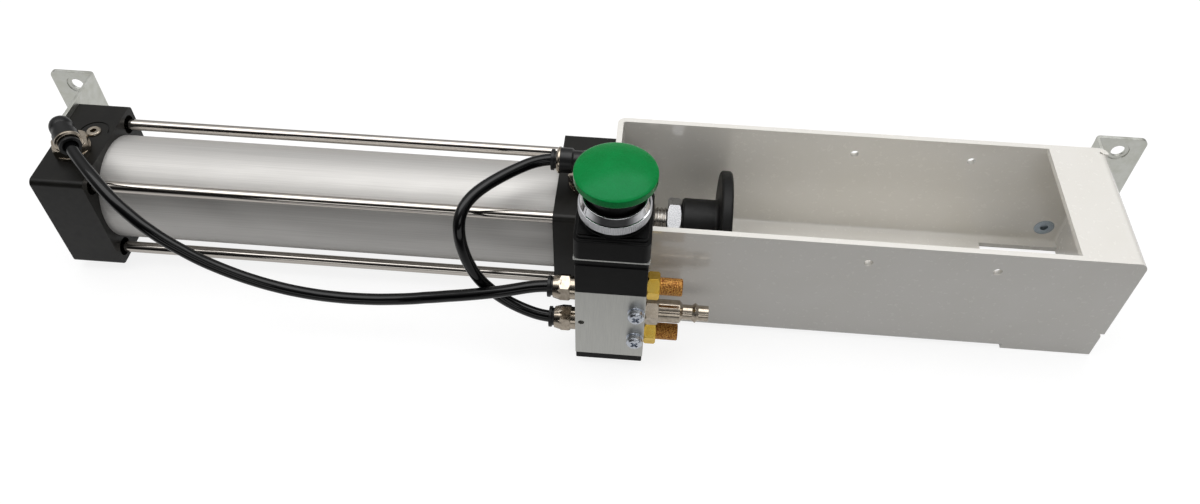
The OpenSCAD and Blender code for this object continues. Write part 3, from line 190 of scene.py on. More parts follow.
def cast_paint():
    """Black stoved paint on die-cast aluminium: satin, with a faint orange peel over the casting's skin."""
    paint = Finish("cast aluminium, black paint", Specular_IOR_Level=0.27)
    paint.tones(paint.speckle(9.0), "#11100e", "#171613")
    paint.sheen(paint.speckle(3.0), 0.34, 0.44)
    paint.relief((paint.speckle(4.0), 0.02), (paint.speckle(0.45), 0.004))
    return paint.material


def anodised():
    """Clear-anodised aluminium tube: drawn lengthwise and etched matt, so fine streaks run along it."""
    tube = Finish("aluminium tube, clear anodised", Metallic=0.66)
    streaks = tube.speckle((60.0, 0.5, 0.5), 2.0)
    tube.tones(streaks, "#c9c7c4", "#d2d0cd")
    tube.sheen(tube.speckle((18.0, 4.0, 4.0)), 0.52, 0.57)
    tube.relief((streaks, 0.0006), (tube.speckle(0.5), 0.0006))
    return tube.material


def bright_steel(name, light, dark, rough, line_mm=(70.0, 0.3, 0.3)):
    """Drawn and polished steel: a clear reflection broken by fine lines, along the bar or round it."""
    steel = Finish(name, Metallic=1.0)
    lines = steel.speckle(line_mm, 2.0)
    steel.tones(lines, dark, light)
    steel.sheen(lines, rough, rough + 0.08)
    steel.relief((lines, 0.0004))
    return steel.material


def powder_coat():
    """White polyester powder coat: glossy, with the soft orange peel that the melted powder leaves."""
    settings = bpy.context.scene.crusher_trough
    coat = Finish("steel sheet, white powder coat", Specular_IOR_Level=0.5, Coat_Weight=1.0,
                  Coat_Roughness=0.05)
    coat.tones(coat.speckle(30.0), settings.coat_dark, settings.coat_light)
    coat.sheen(coat.speckle(2.5), 0.24, 0.28)
    coat.relief((coat.speckle(0.9, 2.0), 0.00012))
    return coat.material


def zinc_sheet():
    """Zinc-plated sheet, passivated clear: soft mottling and rolling marks along the strip."""
    sheet = Finish("steel sheet, zinc plated", Metallic=1.0)
    cloud = sheet.speckle(5.0, 4.0)
    sheet.tones(cloud, "#cccdc4", "#dcddd7")
    sheet.sheen(cloud, 0.32, 0.46)
    sheet.relief((cloud, 0.004), (sheet.speckle((0.35, 0.35, 14.0), 2.0), 0.002))
    return sheet.material


def worked_metal(name="steel fastener, bright zinc", light="#dfe3ea", dark="#c6ccd6", rough=0.18):
    """Barrel-plated or turned metal: small marks of the work in its colour, its gloss and its relief. As it
    stands, bright zinc on cold-headed screws, faintly blue."""
    metal = Finish(name, Metallic=1.0)
    marks = metal.speckle(0.6, 4.0)
    metal.tones(marks, dark, light)
    metal.sheen(marks, rough, rough + 0.14)
    metal.relief((marks, 0.0022))
    return metal.material


def moulded(name, dark, light, rough, grain_mm=0.3, height=0.0015, gloss=0.25, tint=(1.0, 1.0, 1.0)):
    """Moulded plastic: an even colour with the tool's fine spark-eroded grain."""
    plastic = Finish(name, Specular_IOR_Level=gloss, IOR=1.5, Specular_Tint=(*tint, 1.0))
    plastic.tones(plastic.speckle(6.0), dark, light)
    plastic.sheen(plastic.speckle(2.0), rough, rough + 0.1)
    plastic.relief((plastic.speckle(grain_mm), height))
    return plastic.material


def green_plastic():
    """Polycarbonate, moulded in a polished tool: smooth, glossy, with a green tint in its reflections."""
    settings = bpy.context.scene.crusher_valve
    return moulded("polycarbonate, green", settings.head_dark, settings.head_light, rough=0.22,
                   grain_mm=0.35, height=0.00005, gloss=0.24, tint=(0.45, 1.0, 0.85))


def brushed_body():
    """Extruded valve body, belt-ground along its height and clear anodised: fine upright lines."""
    body = Finish("aluminium, ground and anodised", Metallic=1.0)
    lines = body.speckle((0.16, 0.16, 11.0), 3.0, 0.7)
    body.tones(lines, "#bdbdb9", "#cbcbc6")
    body.sheen(lines, 0.36, 0.44)
    body.relief((lines, 0.0012))
    return body.material


def chrome():
    """Bright chromium over nickel: a mirror with the least haze, and a knurled band that scatters white."""
    band_metallic, fade = 0.35, 0.3 * MM  # the band's share of mirror, and the height over which it grows
    ring = Finish("zinc die casting, chrome plated")
    band_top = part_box("button_ring")[0].z + BAND_MM * MM
    height = put(ring.tree, "ShaderNodeSeparateXYZ", {"Vector": ring.coords}).outputs["Z"]
    metallic = span(height, band_top - fade, band_top, band_metallic, 1.0)
    ring.feed("Metallic", put(ring.tree, "ShaderNodeMapRange", metallic).outputs["Result"])
    haze = ring.speckle(1.2)
    ring.tones(haze, "#d6d7da", "#e3e3e6")
    ring.sheen(haze, 0.05, 0.10)
    ring.relief((ring.speckle(0.8), 0.0004))
    return ring.material


def nickel():
    """Nickel-plated brass: warm grey, with turning marks and slight tarnish."""
    plate = Finish("brass, nickel plated", Metallic=1.0)
    tarnish = plate.speckle(2.2, 4.0)
    plate.tones(tarnish, "#aa9f90", "#c3b8a9")
    plate.sheen(tarnish, 0.13, 0.20)
    plate.relief((plate.speckle((0.22, 2.0, 2.0), 2.0), 0.0004))
    return plate.material


def brass():
    """Turned brass: bright yellow, with fine tool marks."""
    metal = Finish("brass, turned", Metallic=1.0)
    stain = metal.speckle(2.4, 4.0)
    metal.tones(stain, "#e2b74a", "#f3cf66")
    metal.sheen(stain, 0.18, 0.27)
    metal.relief((metal.speckle((0.22, 2.0, 2.0), 2.0), 0.0012))
    return metal.material


def sintered():
    """Bronze spheres sintered together: grains of about 0.6 mm, with painted shade in the hollows between
    them.
    """
    bronze = Finish("bronze, sintered", Metallic=0.6)
    cells = put(bronze.tree, "ShaderNodeTexVoronoi", {"Vector": bronze.in_grains(0.6), "Scale": 1.0})
    pore_depth_and_shade = cells.outputs["Distance"]
    domes = put(bronze.tree, "ShaderNodeMath", {0: 1.0, 1: pore_depth_and_shade}, operation="SUBTRACT")
    # painted shade: the colour darkens from each grain's middle into the hollows between the grains
    bronze.tones(pore_depth_and_shade, "#ffc468", "#84450f", start=0.1, end=0.75)
    bronze.sheen(bronze.speckle(0.8), 0.42, 0.62)
    bronze.relief((domes.outputs[0], 0.14))
    return bronze.material


def hose_skin():
    """Extruded polyurethane: deep black and glossy, with faint draw lines and wiped-off dust."""
    skin = Finish("polyurethane hose, black", Specular_IOR_Level=0.36, IOR=1.5)
    skin.tones(skin.speckle(12.0), "#050506", "#0a0a0b")
    skin.sheen(skin.speckle(5.0), 0.09, 0.14)
    skin.relief((skin.speckle(2.5), 0.002))
    return skin.material


MAKERS = {
    "cast_paint": cast_paint,
    "anodised": anodised,
    "powder_coat": powder_coat,
    "zinc_sheet": zinc_sheet,
    "zinc_fastener": worked_metal,
    "green_plastic": green_plastic,
    "brushed_body": brushed_body,
    "chrome": chrome,
    "nickel": nickel,
    "brass": brass,
    "sintered": sintered,
    "hose_skin": hose_skin,
    # Drawn bars: bright, with long streaks
    "tie_rod_steel": lambda: bright_steel("stainless steel, polished", "#cdc7c0", "#bfb9b2", 0.045),
    # Ground round and chromed: softer, with faint rings
    "ram_steel": lambda: bright_steel("steel rod, hard chromed", "#cbc8c4", "#a5a19c", 0.13,
                                      line_mm=(0.5, 9.0, 9.0)),
    # Satin grey from the lathe
    "plain_steel": lambda: worked_metal("steel, turned", "#a9a8a4", "#83827f", 0.3),
    # Flake coat: pale grey, and dull enough to shine on a whole flat
    "nut_steel": lambda: worked_metal("steel nut, zinc flake", "#cfcfd1", "#bfc0c3", 0.22),
    # Older zinc, clouded grey
    "screw_steel": lambda: worked_metal("steel screw, dull zinc", "#a3acb3", "#8b949b", 0.3),
    # Oil-blackened: dark grey with a dull shine
    "dark_steel": lambda: worked_metal("steel fastener, blackened", "#55565a", "#37383b", 0.3),
    # Pale grey sheet with a dull shine
    "gasket_plate": lambda: worked_metal("steel plate, zinc plated", "#d0d1cd", "#b0b1ad", 0.3),
    # Warm brown metal
    "bearing_bronze": lambda: worked_metal("bearing bronze, turned", "#b98f4e", "#8f6a33", 0.3),
    # Pale metal
    "piston_alloy": lambda: worked_metal("aluminium, turned", "#c9c9c9", "#a6a6a6", 0.3),
    # Turned from bar: matt, with a waxy shine
    "foot_plastic": lambda: moulded("polyacetal, turned black", "#0a0a0a", "#0f0f0f", 0.42, grain_mm=0.5),
    # Fine matt grain, and little shine
    "valve_plastic": lambda: moulded("glass-filled nylon, black", "#080808", "#0d0d0d", 0.34, gloss=0.15),
    # Smoother and shinier than the valve
    "fitting_plastic": lambda: moulded("polybutylene, black", "#0f0f10", "#161617", 0.3, grain_mm=0.4,
                                       gloss=0.4),
    # Dull black
    "rubber": lambda: moulded("nitrile rubber", "#101010", "#191919", 0.6, grain_mm=0.2, height=0.002),
    # Cream and waxy
    "guide_plastic": lambda: moulded("polyamide, natural", "#cfc7ad", "#ded7c1", 0.45),
}
MADE = {}


def finish(name):
    """The material of that name, made once."""
    if name not in MADE:
        MADE[name] = MAKERS[name]()
    return MADE[name]


# Surfaces

def surface(name, points, faces, material, sharp_deg=32.0):
    """A closed piece from an array of points and a list of quads or triangles. The volume inside is a sixth
    of the sum of each triangle's first corner times the cross product of the others; where that is below
    zero the faces are turned outwards."""
    mesh = bpy.data.meshes.new(name)
    mesh.from_pydata(points.tolist(), [], faces)
    mesh.update()
    mesh.calc_loop_triangles()
    corners = np.zeros(len(mesh.loop_triangles) * 3, np.int32)
    mesh.loop_triangles.foreach_get("vertices", corners)
    first, second, third = (points[corners.reshape(-1, 3)[:, i]] for i in range(3))
    if np.einsum("ij,ij->i", first, np.cross(second, third)).sum() < 0:
        mesh.flip_normals()
    mesh.polygons.foreach_set("use_smooth", np.ones(len(mesh.polygons), bool))
    mesh.set_sharp_from_angle(angle=math.radians(sharp_deg))
    mesh.materials.append(material)
    obj = bpy.data.objects.new(name, mesh)
    bpy.context.scene.collection.objects.link(obj)
    return obj


def grid_faces(rows, columns, closed_rows=False):
    """Quads between neighbouring points of a grid that is closed round its columns, and rows if asked."""
    row = np.arange(rows if closed_rows else rows - 1)[:, None]
    column = np.arange(columns)[None, :]
    next_row, next_column = (row + 1) % rows, (column + 1) % columns
    corners = [row * columns + column, row * columns + next_column,
               next_row * columns + next_column, next_row * columns + column]
    return np.stack(corners, -1).reshape(-1, 4).tolist()


def capped_faces(rows, columns):
    """Quads of a grid that is closed round its columns, and a fan of triangles from its first and its last
    row to the two poles, which are the points that follow the grid's."""
    column = np.arange(columns)
    next_column = (column + 1) % columns
    pole = np.full(columns, rows * columns)
    last_row = (rows - 1) * columns
    first = np.stack([pole, next_column, column], -1)
    last = np.stack([pole + 1, last_row + column, last_row + next_column], -1)
    return grid_faces(rows, columns) + first.tolist() + last.tolist()


def placed(local, origin, along, across):
    """Local x, y, z become across, the third direction and along, from the origin."""
    along, across = np.array(Vector(along).normalized()), np.array(Vector(across).normalized())
    third = np.cross(along, across)
    return np.array(origin) + local[..., :1] * across + local[..., 1:2] * third + local[..., 2:3] * along


def round_piece(name, radius, height, material, origin, along=(0, 0, 1), across=(1, 0, 0), sharp_deg=32.0):
    """Surface of polar form: a point's x and y are its radius times the cosine and the sine of its column's
    angle, and its z is its height. The end rows lie on the axis and become one pole each, and a grid whose
    first row repeats as its last closes into a ring."""
    radius, height = np.broadcast_arrays(np.asarray(radius, float), np.asarray(height, float))
    columns = radius.shape[1]
    angle = np.linspace(0, 2 * np.pi, columns, endpoint=False)[None, :]
    grid = np.stack([radius * np.cos(angle), radius * np.sin(angle), height], -1)
    if np.allclose(grid[0], grid[-1]):
        points = grid[:-1].reshape(-1, 3)
        faces = grid_faces(len(grid) - 1, columns, closed_rows=True)
    else:
        points = np.concatenate([grid[1:-1].reshape(-1, 3), grid[[0, -1], 0]])
        faces = capped_faces(len(grid) - 2, columns)
    return surface(name, placed(points, origin, along, across), faces, material, sharp_deg)


def tube_along(name, line, radius, sides, material):
    """A round tube: each point's circle stands square to the line, in two directions that come from the
    line's own and the vertical, and a pole shuts each end."""
    way = np.gradient(line, axis=0)
    way /= np.linalg.norm(way, axis=1)[:, None]
    flat = np.cross(way, [0.0, 0.0, 1.0])
    flat /= np.linalg.norm(flat, axis=1)[:, None]
    steep = np.cross(way, flat)
    angle = np.linspace(0, 2 * np.pi, sides, endpoint=False)[None, :, None]
    circles = line[:, None] + radius * (np.cos(angle) * flat[:, None] + np.sin(angle) * steep[:, None])
    points = np.concatenate([circles.reshape(-1, 3), line[[0, -1]]])
    return surface(name, points, capped_faces(len(line), sides), material, sharp_deg=60)


def profile(points, step_mm):
    """Resamples an outline of (radius, height) in mm: each side is cut in equal parts, step_mm at most."""
    corners = np.array(points, float)
    parts = [corners[:1]]
    for start, end in zip(corners[:-1], corners[1:]):
        count = max(1, int(math.ceil(np.linalg.norm(end - start) / step_mm)))
        parts.append(start + (end - start) * (np.arange(1, count + 1) / count)[:, None])
    return np.concatenate(parts)


def arc(centre, radius, start_deg, end_deg, count):
    """Points of an arc in the outline's plane: the centre plus the radius times the cosine and the sine."""
    angle = np.radians(np.linspace(start_deg, end_deg, count))
    return np.stack([centre[0] + radius * np.cos(angle), centre[1] + radius * np.sin(angle)], -1).tolist()


def hex_radius(angle, flats):
    """Distance from the axis to a hexagon's side in the direction of the angle: half the flats over the
    cosine of the angle to the nearest side's middle."""
    near = (angle + np.pi / 6) % (np.pi / 3) - np.pi / 6
    return flats / 2 / np.cos(near)


def spline(points, parts):
    """Centripetal Catmull-Rom line through the points: knots lie the square root of the distance apart, and
    each span, cut in parts, blends its lines three times over by the share of the way between knots."""
    p = np.concatenate([2 * points[:1] - points[1:2], points, 2 * points[-1:] - points[-2:-1]])
    knots = np.concatenate([[0], np.cumsum(np.linalg.norm(np.diff(p, axis=0), axis=1) ** 0.5)])
    t0, t1, t2, t3 = (knots[i:len(p) - 3 + i][:, None, None] for i in range(4))
    a, b, c, d = (p[i:len(p) - 3 + i][:, None, :] for i in range(4))
    t = t1 + (t2 - t1) * (np.arange(parts) / parts)[None, :, None]
    ab = (t1 - t) / (t1 - t0) * a + (t - t0) / (t1 - t0) * b
    bc = (t2 - t) / (t2 - t1) * b + (t - t1) / (t2 - t1) * c
    cd = (t3 - t) / (t3 - t2) * c + (t - t2) / (t3 - t2) * d
    abc = (t2 - t) / (t2 - t0) * ab + (t - t0) / (t2 - t0) * bc
    bcd = (t3 - t) / (t3 - t1) * bc + (t - t1) / (t3 - t1) * cd
    line = ((t2 - t) / (t2 - t1) * abc + (t - t1) / (t2 - t1) * bcd).reshape(-1, 3)
    return np.concatenate([line, points[-1:]])


def cylinder_point(x, y, z):
    """A point given in mm from the rear cap's outer face on the cylinder's axis, in metres in the frame."""
    return (REAR_X + x * MM, AXIS_Y + y * MM, z * MM)


def ride_as(obj, body, slot, *nodes):
    """Puts a new piece on its body, in place of the CAD nodes named, which it hides; the slot is not used.
    """
    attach(obj, body)
    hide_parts(*nodes)


WELD_GAP = 2e-6  # metres within which the corners of a CAD node's loose triangles join
FLAT_ANGLE = 0.6  # degrees between triangles that count as one flat
AREA_WEIGHT = 60  # how much a large face turns the shading of its edges towards itself


def dress(node, material, bevel_mm=0.0, segments=2, angle=30.0):
    """Gives a CAD node its finish, and rounds its edges that are sharper than the angle by modifiers."""
    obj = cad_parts[node]
    obj.data.materials.clear()
    obj.data.materials.append(finish(material))
    if bevel_mm:
        weld = obj.modifiers.new("weld", "WELD")
        weld.merge_threshold = WELD_GAP
        flat = obj.modifiers.new("flats", "DECIMATE")
        flat.decimate_type = "DISSOLVE"
        flat.angle_limit = math.radians(FLAT_ANGLE)
        bevel = obj.modifiers.new("edges", "BEVEL")
        bevel.width = bevel_mm * MM
        bevel.segments = segments
        bevel.limit_method = "ANGLE"
        bevel.angle_limit = math.radians(angle)
        bevel.use_clamp_overlap = True
        bevel.harden_normals = False
        bevel.miter_outer = "MITER_ARC"
        normals = obj.modifiers.new("shading", "WEIGHTED_NORMAL")
        normals.keep_sharp = False
        normals.weight = AREA_WEIGHT


# Settings

class CrusherCylinderSettings(bpy.types.PropertyGroup):
    thread_pitch: bpy.props.FloatProperty(name="Thread pitch", description="Pitch of the rod's thread",
                                          default=2.0 * MM, subtype="DISTANCE", unit="LENGTH")
    cast_edge: bpy.props.FloatProperty(name="Cast edge", description="Rounding of the caps' cast edges",
                                       default=0.6 * MM, subtype="DISTANCE", unit="LENGTH")


class CrusherTroughSettings(bpy.types.PropertyGroup):
    coat_dark: bpy.props.FloatVectorProperty(
        name="Coat, dark", description="Darker tone of the powder coat", default=linear("#eeebe4"),
        size=4, subtype="COLOR")
    coat_light: bpy.props.FloatVectorProperty(
        name="Coat, light", description="Lighter tone of the powder coat", default=linear("#f1eee8"),
        size=4, subtype="COLOR")


class CrusherValveSettings(bpy.types.PropertyGroup):
    knurl_ribs: bpy.props.IntProperty(name="Knurl ribs", description="Ribs round the button's ring",
                                      default=100, min=24)
    knurl_depth: bpy.props.FloatProperty(name="Knurl depth", description="Depth of the ring's knurling",
                                         default=0.25 * MM, subtype="DISTANCE", unit="LENGTH")
    head_dark: bpy.props.FloatVectorProperty(
        name="Head, dark", description="Darker tone of the mushroom head", default=linear("#007a36"),
        size=4, subtype="COLOR")
    head_light: bpy.props.FloatVectorProperty(
        name="Head, light", description="Lighter tone of the mushroom head", default=linear("#00813b"),
        size=4, subtype="COLOR")


class CrusherHoseSettings(bpy.types.PropertyGroup):
    diameter: bpy.props.FloatProperty(name="Hose diameter", description="Outside diameter of the hoses",
                                      default=6.0 * MM, subtype="DISTANCE", unit="LENGTH")


class CrusherStudioSettings(bpy.types.PropertyGroup):
    key_power: bpy.props.FloatProperty(name="Key light", description="Power of the overhead softbox",
                                       default=10.5, unit="POWER")
    fill_power: bpy.props.FloatProperty(name="Fill light", description="Power of the front softbox",
                                        default=3.2, unit="POWER")


SETTINGS = {"crusher_cylinder": CrusherCylinderSettings, "crusher_trough": CrusherTroughSettings,
            "crusher_valve": CrusherValveSettings, "crusher_hose": CrusherHoseSettings,
            "crusher_studio": CrusherStudioSettings}


# Cylinder and ram

class CRUSHER_OT_cylinder(bpy.types.Operator):
    """Finishes the caps, the tube, the tie rods and what they hold"""
    bl_idname = "crusher.cylinder"
    bl_label = "Cylinder"

    def execute(self, context):
        edge = context.scene.crusher_cylinder.cast_edge / MM
        for node in ("rear_cap", "front_cap"):
            dress(node, "cast_paint", bevel_mm=edge, segments=3)
        dress("cylinder_tube", "anodised")
        dress("tie_rods", "tie_rod_steel")
        dress("tie_rod_nuts", "dark_steel", bevel_mm=0.4)
        dress("tube_seals", "rubber")
        dress("rod_bushing", "bearing_bronze")
        dress("rod_wiper", "rubber")
        for node in ("cushion_needle_rear", "cushion_needle_front"):
            dress(node, "nickel", bevel_mm=0.12)
        return {"FINISHED"}


def threaded_rod(pitch):
    """Rod: a turned outline whose last stretch is threaded. There the radius lies under the crest by the
    depth times a triangle wave of the distance over the pitch, less the column's share of a turn, and the
    crest falls to the rod's end over the run-out."""
    low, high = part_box("piston_rod")
    full = (high.y - low.y) / 2
    piston_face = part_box("piston")[1].x
    shoulder = high.x - THREAD_LENGTH
    x = np.concatenate([[low.x, low.x, piston_face, piston_face],
                        np.linspace(piston_face, shoulder - SHOULDER_CHAMFER, ROD_ROWS),
                        [shoulder, shoulder],
                        np.linspace(shoulder + ROW_GAP, high.x - ROW_GAP, THREAD_ROWS), [high.x, high.x]])
    outline = np.concatenate([[0, SPIGOT_RADIUS, SPIGOT_RADIUS, full], np.full(ROD_ROWS, full),
                              [full - SHOULDER_CHAMFER, THREAD_RADIUS], np.full(THREAD_ROWS, THREAD_RADIUS),
                              [THREAD_RADIUS - END_CHAMFER, 0]])
    on_thread = (x > shoulder) & (x < high.x) & (outline == THREAD_RADIUS)
    turn = np.linspace(0, 1, ROD_COLUMNS, endpoint=False)[None, :]
    wave = np.abs(2 * ((x[:, None] / pitch - turn) % 1.0) - 1)
    thread = THREAD_RADIUS - np.clip(wave * FLANK_GAIN - CREST_FLAT, 0, 1) * THREAD_DEPTH
    crest = THREAD_RADIUS - RUN_OUT_DEPTH * (1 - np.clip((high.x - x) / RUN_OUT_LENGTH, 0, 1))
    radius = np.where(on_thread[:, None], np.minimum(thread, crest[:, None]), outline[:, None])
    rod = round_piece("threaded_ram_rod", radius, (x - low.x)[:, None], finish("ram_steel"),
                      (low.x, AXIS_Y, 0), (1, 0, 0), (0, 1, 0))
    ride_as(rod, "ram", "rod_steel", "piston_rod")


def chamfered_nut():
    """Lock nut, its corners along the vertical: the radius is the lesser of the hexagon's and of a cone's,
    which widens from either face. The rows at the bore close the grid into a ring."""
    low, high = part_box("lock_nut")
    flats, thick = high.y - low.y, high.x - low.x
    depth = np.concatenate([np.linspace(0, NUT_CONE_SHARE, NUT_CONE_ROWS),
                            np.linspace(1 - NUT_CONE_SHARE, 1, NUT_CONE_ROWS)]) * thick
    cone = flats / 2 + NUT_CONE_STEP + NUT_CONE_SLOPE * np.minimum(depth, thick - depth)
    angle = np.linspace(0, 2 * np.pi, NUT_COLUMNS, endpoint=False)[None, :]
    sides = np.minimum(hex_radius(angle + np.pi / 6, flats), cone[:, None])
    bore, rim = np.full((1, NUT_COLUMNS), NUT_BORE_RADIUS), np.full((1, NUT_COLUMNS), NUT_RIM_RADIUS)
    radius = np.concatenate([bore, rim, sides, rim, bore, bore])
    height = np.concatenate([[0, 0], depth, [thick, thick, 0]])[:, None]
    nut = round_piece("chamfered_lock_nut", radius, height, finish("nut_steel"),
                      (low.x, AXIS_Y, 0), (1, 0, 0), (0, 0, 1))
    ride_as(nut, "ram", "zinc_steel", "lock_nut")


class CRUSHER_OT_ram(bpy.types.Operator):
    """Makes the threaded rod and its lock nut, and finishes the piston and the foot"""
    bl_idname = "crusher.ram"
    bl_label = "Ram"

    def execute(self, context):
        threaded_rod(context.scene.crusher_cylinder.thread_pitch)
        chamfered_nut()
        dress("crush_foot", "foot_plastic", bevel_mm=0.35, segments=3)
        dress("piston", "piston_alloy")
        dress("piston_seals", "rubber")
        dress("wear_ring", "guide_plastic")
        dress("cushion_sleeve", "plain_steel")
        dress("piston_nut", "plain_steel")
        return {"FINISHED"}


# Trough and brackets

class CRUSHER_OT_trough(bpy.types.Operator):
    """Finishes the folded trough, its screws and the wall brackets"""
    bl_idname = "crusher.trough"
    bl_label = "Trough and brackets"

    def execute(self, context):
        for node in ("channel", "end_cover"):
            dress(node, "powder_coat", bevel_mm=0.4, segments=3, angle=40.0)
        dress("channel_screws", "dark_steel", bevel_mm=0.2)
        for node in ("rear_bracket", "end_bracket"):
            dress(node, "zinc_sheet", bevel_mm=0.3, angle=40.0)
        dress("rear_bracket_screws", "zinc_fastener", bevel_mm=0.2)
        dress("end_bracket_screws", "screw_steel", bevel_mm=0.15)
        dress("end_bracket_nuts", "zinc_fastener", bevel_mm=0.2)
        return {"FINISHED"}


# Valve and push button

class CRUSHER_OT_valve(bpy.types.Operator):
    """Finishes the valve's body, blocks, screws and spool"""
    bl_idname = "crusher.valve"
    bl_label = "Valve"

    def execute(self, context):
        dress("valve_body", "brushed_body", bevel_mm=0.25)
        for node in ("valve_end_cap", "valve_head_block"):
            dress(node, "valve_plastic", bevel_mm=0.4, segments=3)
        dress("valve_gasket_plate", "gasket_plate", bevel_mm=0.15)
        dress("valve_screws", "zinc_fastener", bevel_mm=0.25, segments=3)
        dress("valve_spring_washers", "zinc_fastener", bevel_mm=0.1)
        dress("valve_flat_washers", "zinc_fastener", bevel_mm=0.12)
        dress("valve_spool", "plain_steel")
        dress("spool_seals", "rubber")
        return {"FINISHED"}


def knurled_ring(ribs, depth_mm):
    """Ring: a turned outline with a collar over a knurled band. On the band the radius lies under the
    outline by the depth times one less a power of the cosine of half the ribs times the angle."""
    seat, collar, mouth = 14.5, 14.6, 13.9  # radii in mm: band's bore, collar's rounding, collar's mouth
    soft, fine, lip = 0.4, 0.3, 0.1  # mm: roundings of the edges and the step at the mouth
    roundness, points_per_rib = 0.8, 10
    low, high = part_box("button_ring")
    r, h = (high.x - low.x) / 2 / MM, (high.z - low.z) / MM
    outline = profile([(seat, 0)] + arc((r - soft, soft), soft, -90, 0, 6)
                      + arc((r - fine, BAND_MM - fine), fine, 0, 90, 6) + [(r - soft - fine, BAND_MM + lip)]
                      + arc((collar, h - soft), soft, 25, 90, 6)
                      + [(mouth, h), (mouth - lip, h - fine), (seat, BAND_MM), (seat, 0)], step_mm=0.4)
    angle = np.linspace(0, 2 * np.pi, ribs * points_per_rib, endpoint=False)[None, :]
    on_band = (outline[:, 0] > r - 2 * soft) & (outline[:, 1] > lip) & (outline[:, 1] < BAND_MM - lip)
    groove = depth_mm * (1 - np.abs(np.cos(ribs * angle / 2)) ** roundness)
    radius = outline[:, :1] - np.where(on_band[:, None], groove, 0)
    ring = round_piece("knurled_ring", radius * MM, outline[:, 1:] * MM, finish("chrome"),
                       ((low.x + high.x) / 2, (low.y + high.y) / 2, low.z), sharp_deg=40)
    ride_as(ring, "frame", "chrome_ring", "button_ring")


def mushroom_head():
    """Head: a straight rim between two rounded edges, then a crown of one radius, which is the square of
    the head's radius plus that of the crown's rise, over twice the rise."""
    under, over = 0.9, 0.45  # mm: roundings of the rim's lower and upper edge
    low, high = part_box("button_head")
    r, h = (high.x - low.x) / 2 / MM, (high.z - low.z) / MM
    rise = h - HEAD_RIM_MM
    crown = (r ** 2 + rise ** 2) / (2 * rise)
    edge_deg = math.degrees(math.asin((r - under) / crown))
    outline = profile([(0, 0), (r - 2 * under, 0)] + arc((r - under, under), under, -90, 0, 8)
                      + arc((r - over, HEAD_RIM_MM - over), over, 0, 65, 6)
                      + arc((0, h - crown), crown, 90 - edge_deg, 90, 40), step_mm=0.8)
    radius = outline[:, :1] * MM * np.ones((1, HEAD_COLUMNS))
    foot = ((low.x + high.x) / 2, (low.y + high.y) / 2, low.z)
    head = round_piece("mushroom_head", radius, outline[:, 1:] * MM, finish("green_plastic"), foot,
                       sharp_deg=50)
    ride_as(head, "button", "green_plastic", "button_head")


def coil_spring():
    """Return spring: a round wire on a helix that rises evenly."""
    points_per_turn, wire_sides = 32, 10
    low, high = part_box("return_spring")
    count = SPRING_TURNS * points_per_turn + 1
    turn = np.linspace(0, SPRING_TURNS * 2 * np.pi, count)
    radius = (high.x - low.x) / 2 - SPRING_WIRE
    line = np.stack([(low.x + high.x) / 2 + radius * np.cos(turn),
                     (low.y + high.y) / 2 + radius * np.sin(turn),
                     np.linspace(low.z + SPRING_WIRE, high.z - SPRING_WIRE, count)], -1)
    coil = tube_along("coil_spring", line, SPRING_WIRE, wire_sides, finish("plain_steel"))
    ride_as(coil, "frame", "plain_steel", "return_spring")
    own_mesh(coil)


class CRUSHER_OT_button(bpy.types.Operator):
    """Makes the knurled ring, the mushroom head and the return spring, and finishes the housing"""
    bl_idname = "crusher.button"
    bl_label = "Push button"

    def execute(self, context):
        settings = context.scene.crusher_valve
        dress("button_housing", "valve_plastic", bevel_mm=0.5, segments=3)
        dress("button_plunger", "valve_plastic", bevel_mm=0.3)
        knurled_ring(settings.knurl_ribs, settings.knurl_depth / MM)
        mushroom_head()
        coil_spring()
        return {"FINISHED"}


# Fittings and hoses

class CRUSHER_OT_fittings(bpy.types.Operator):
    """Finishes the push-in fittings, the exhausts and the air plug"""
    bl_idname = "crusher.fittings"
    bl_label = "Fittings"

    def execute(self, context):
        dress("tube_fittings", "nickel", bevel_mm=0.2)
        dress("elbow_bases", "nickel", bevel_mm=0.25)
        dress("elbow_rings", "nickel", bevel_mm=0.15)
        dress("elbow_bodies", "fitting_plastic", bevel_mm=0.35, segments=3)
        for node in ("collet_upper", "collet_lower", "collet_rear", "collet_front"):
            dress(node, "fitting_plastic", bevel_mm=0.15)
        dress("silencer_bases", "brass", bevel_mm=0.2)
        dress("silencer_elements", "sintered", bevel_mm=0.3)
        dress("air_plug", "nickel", bevel_mm=0.15)
        return {"FINISHED"}


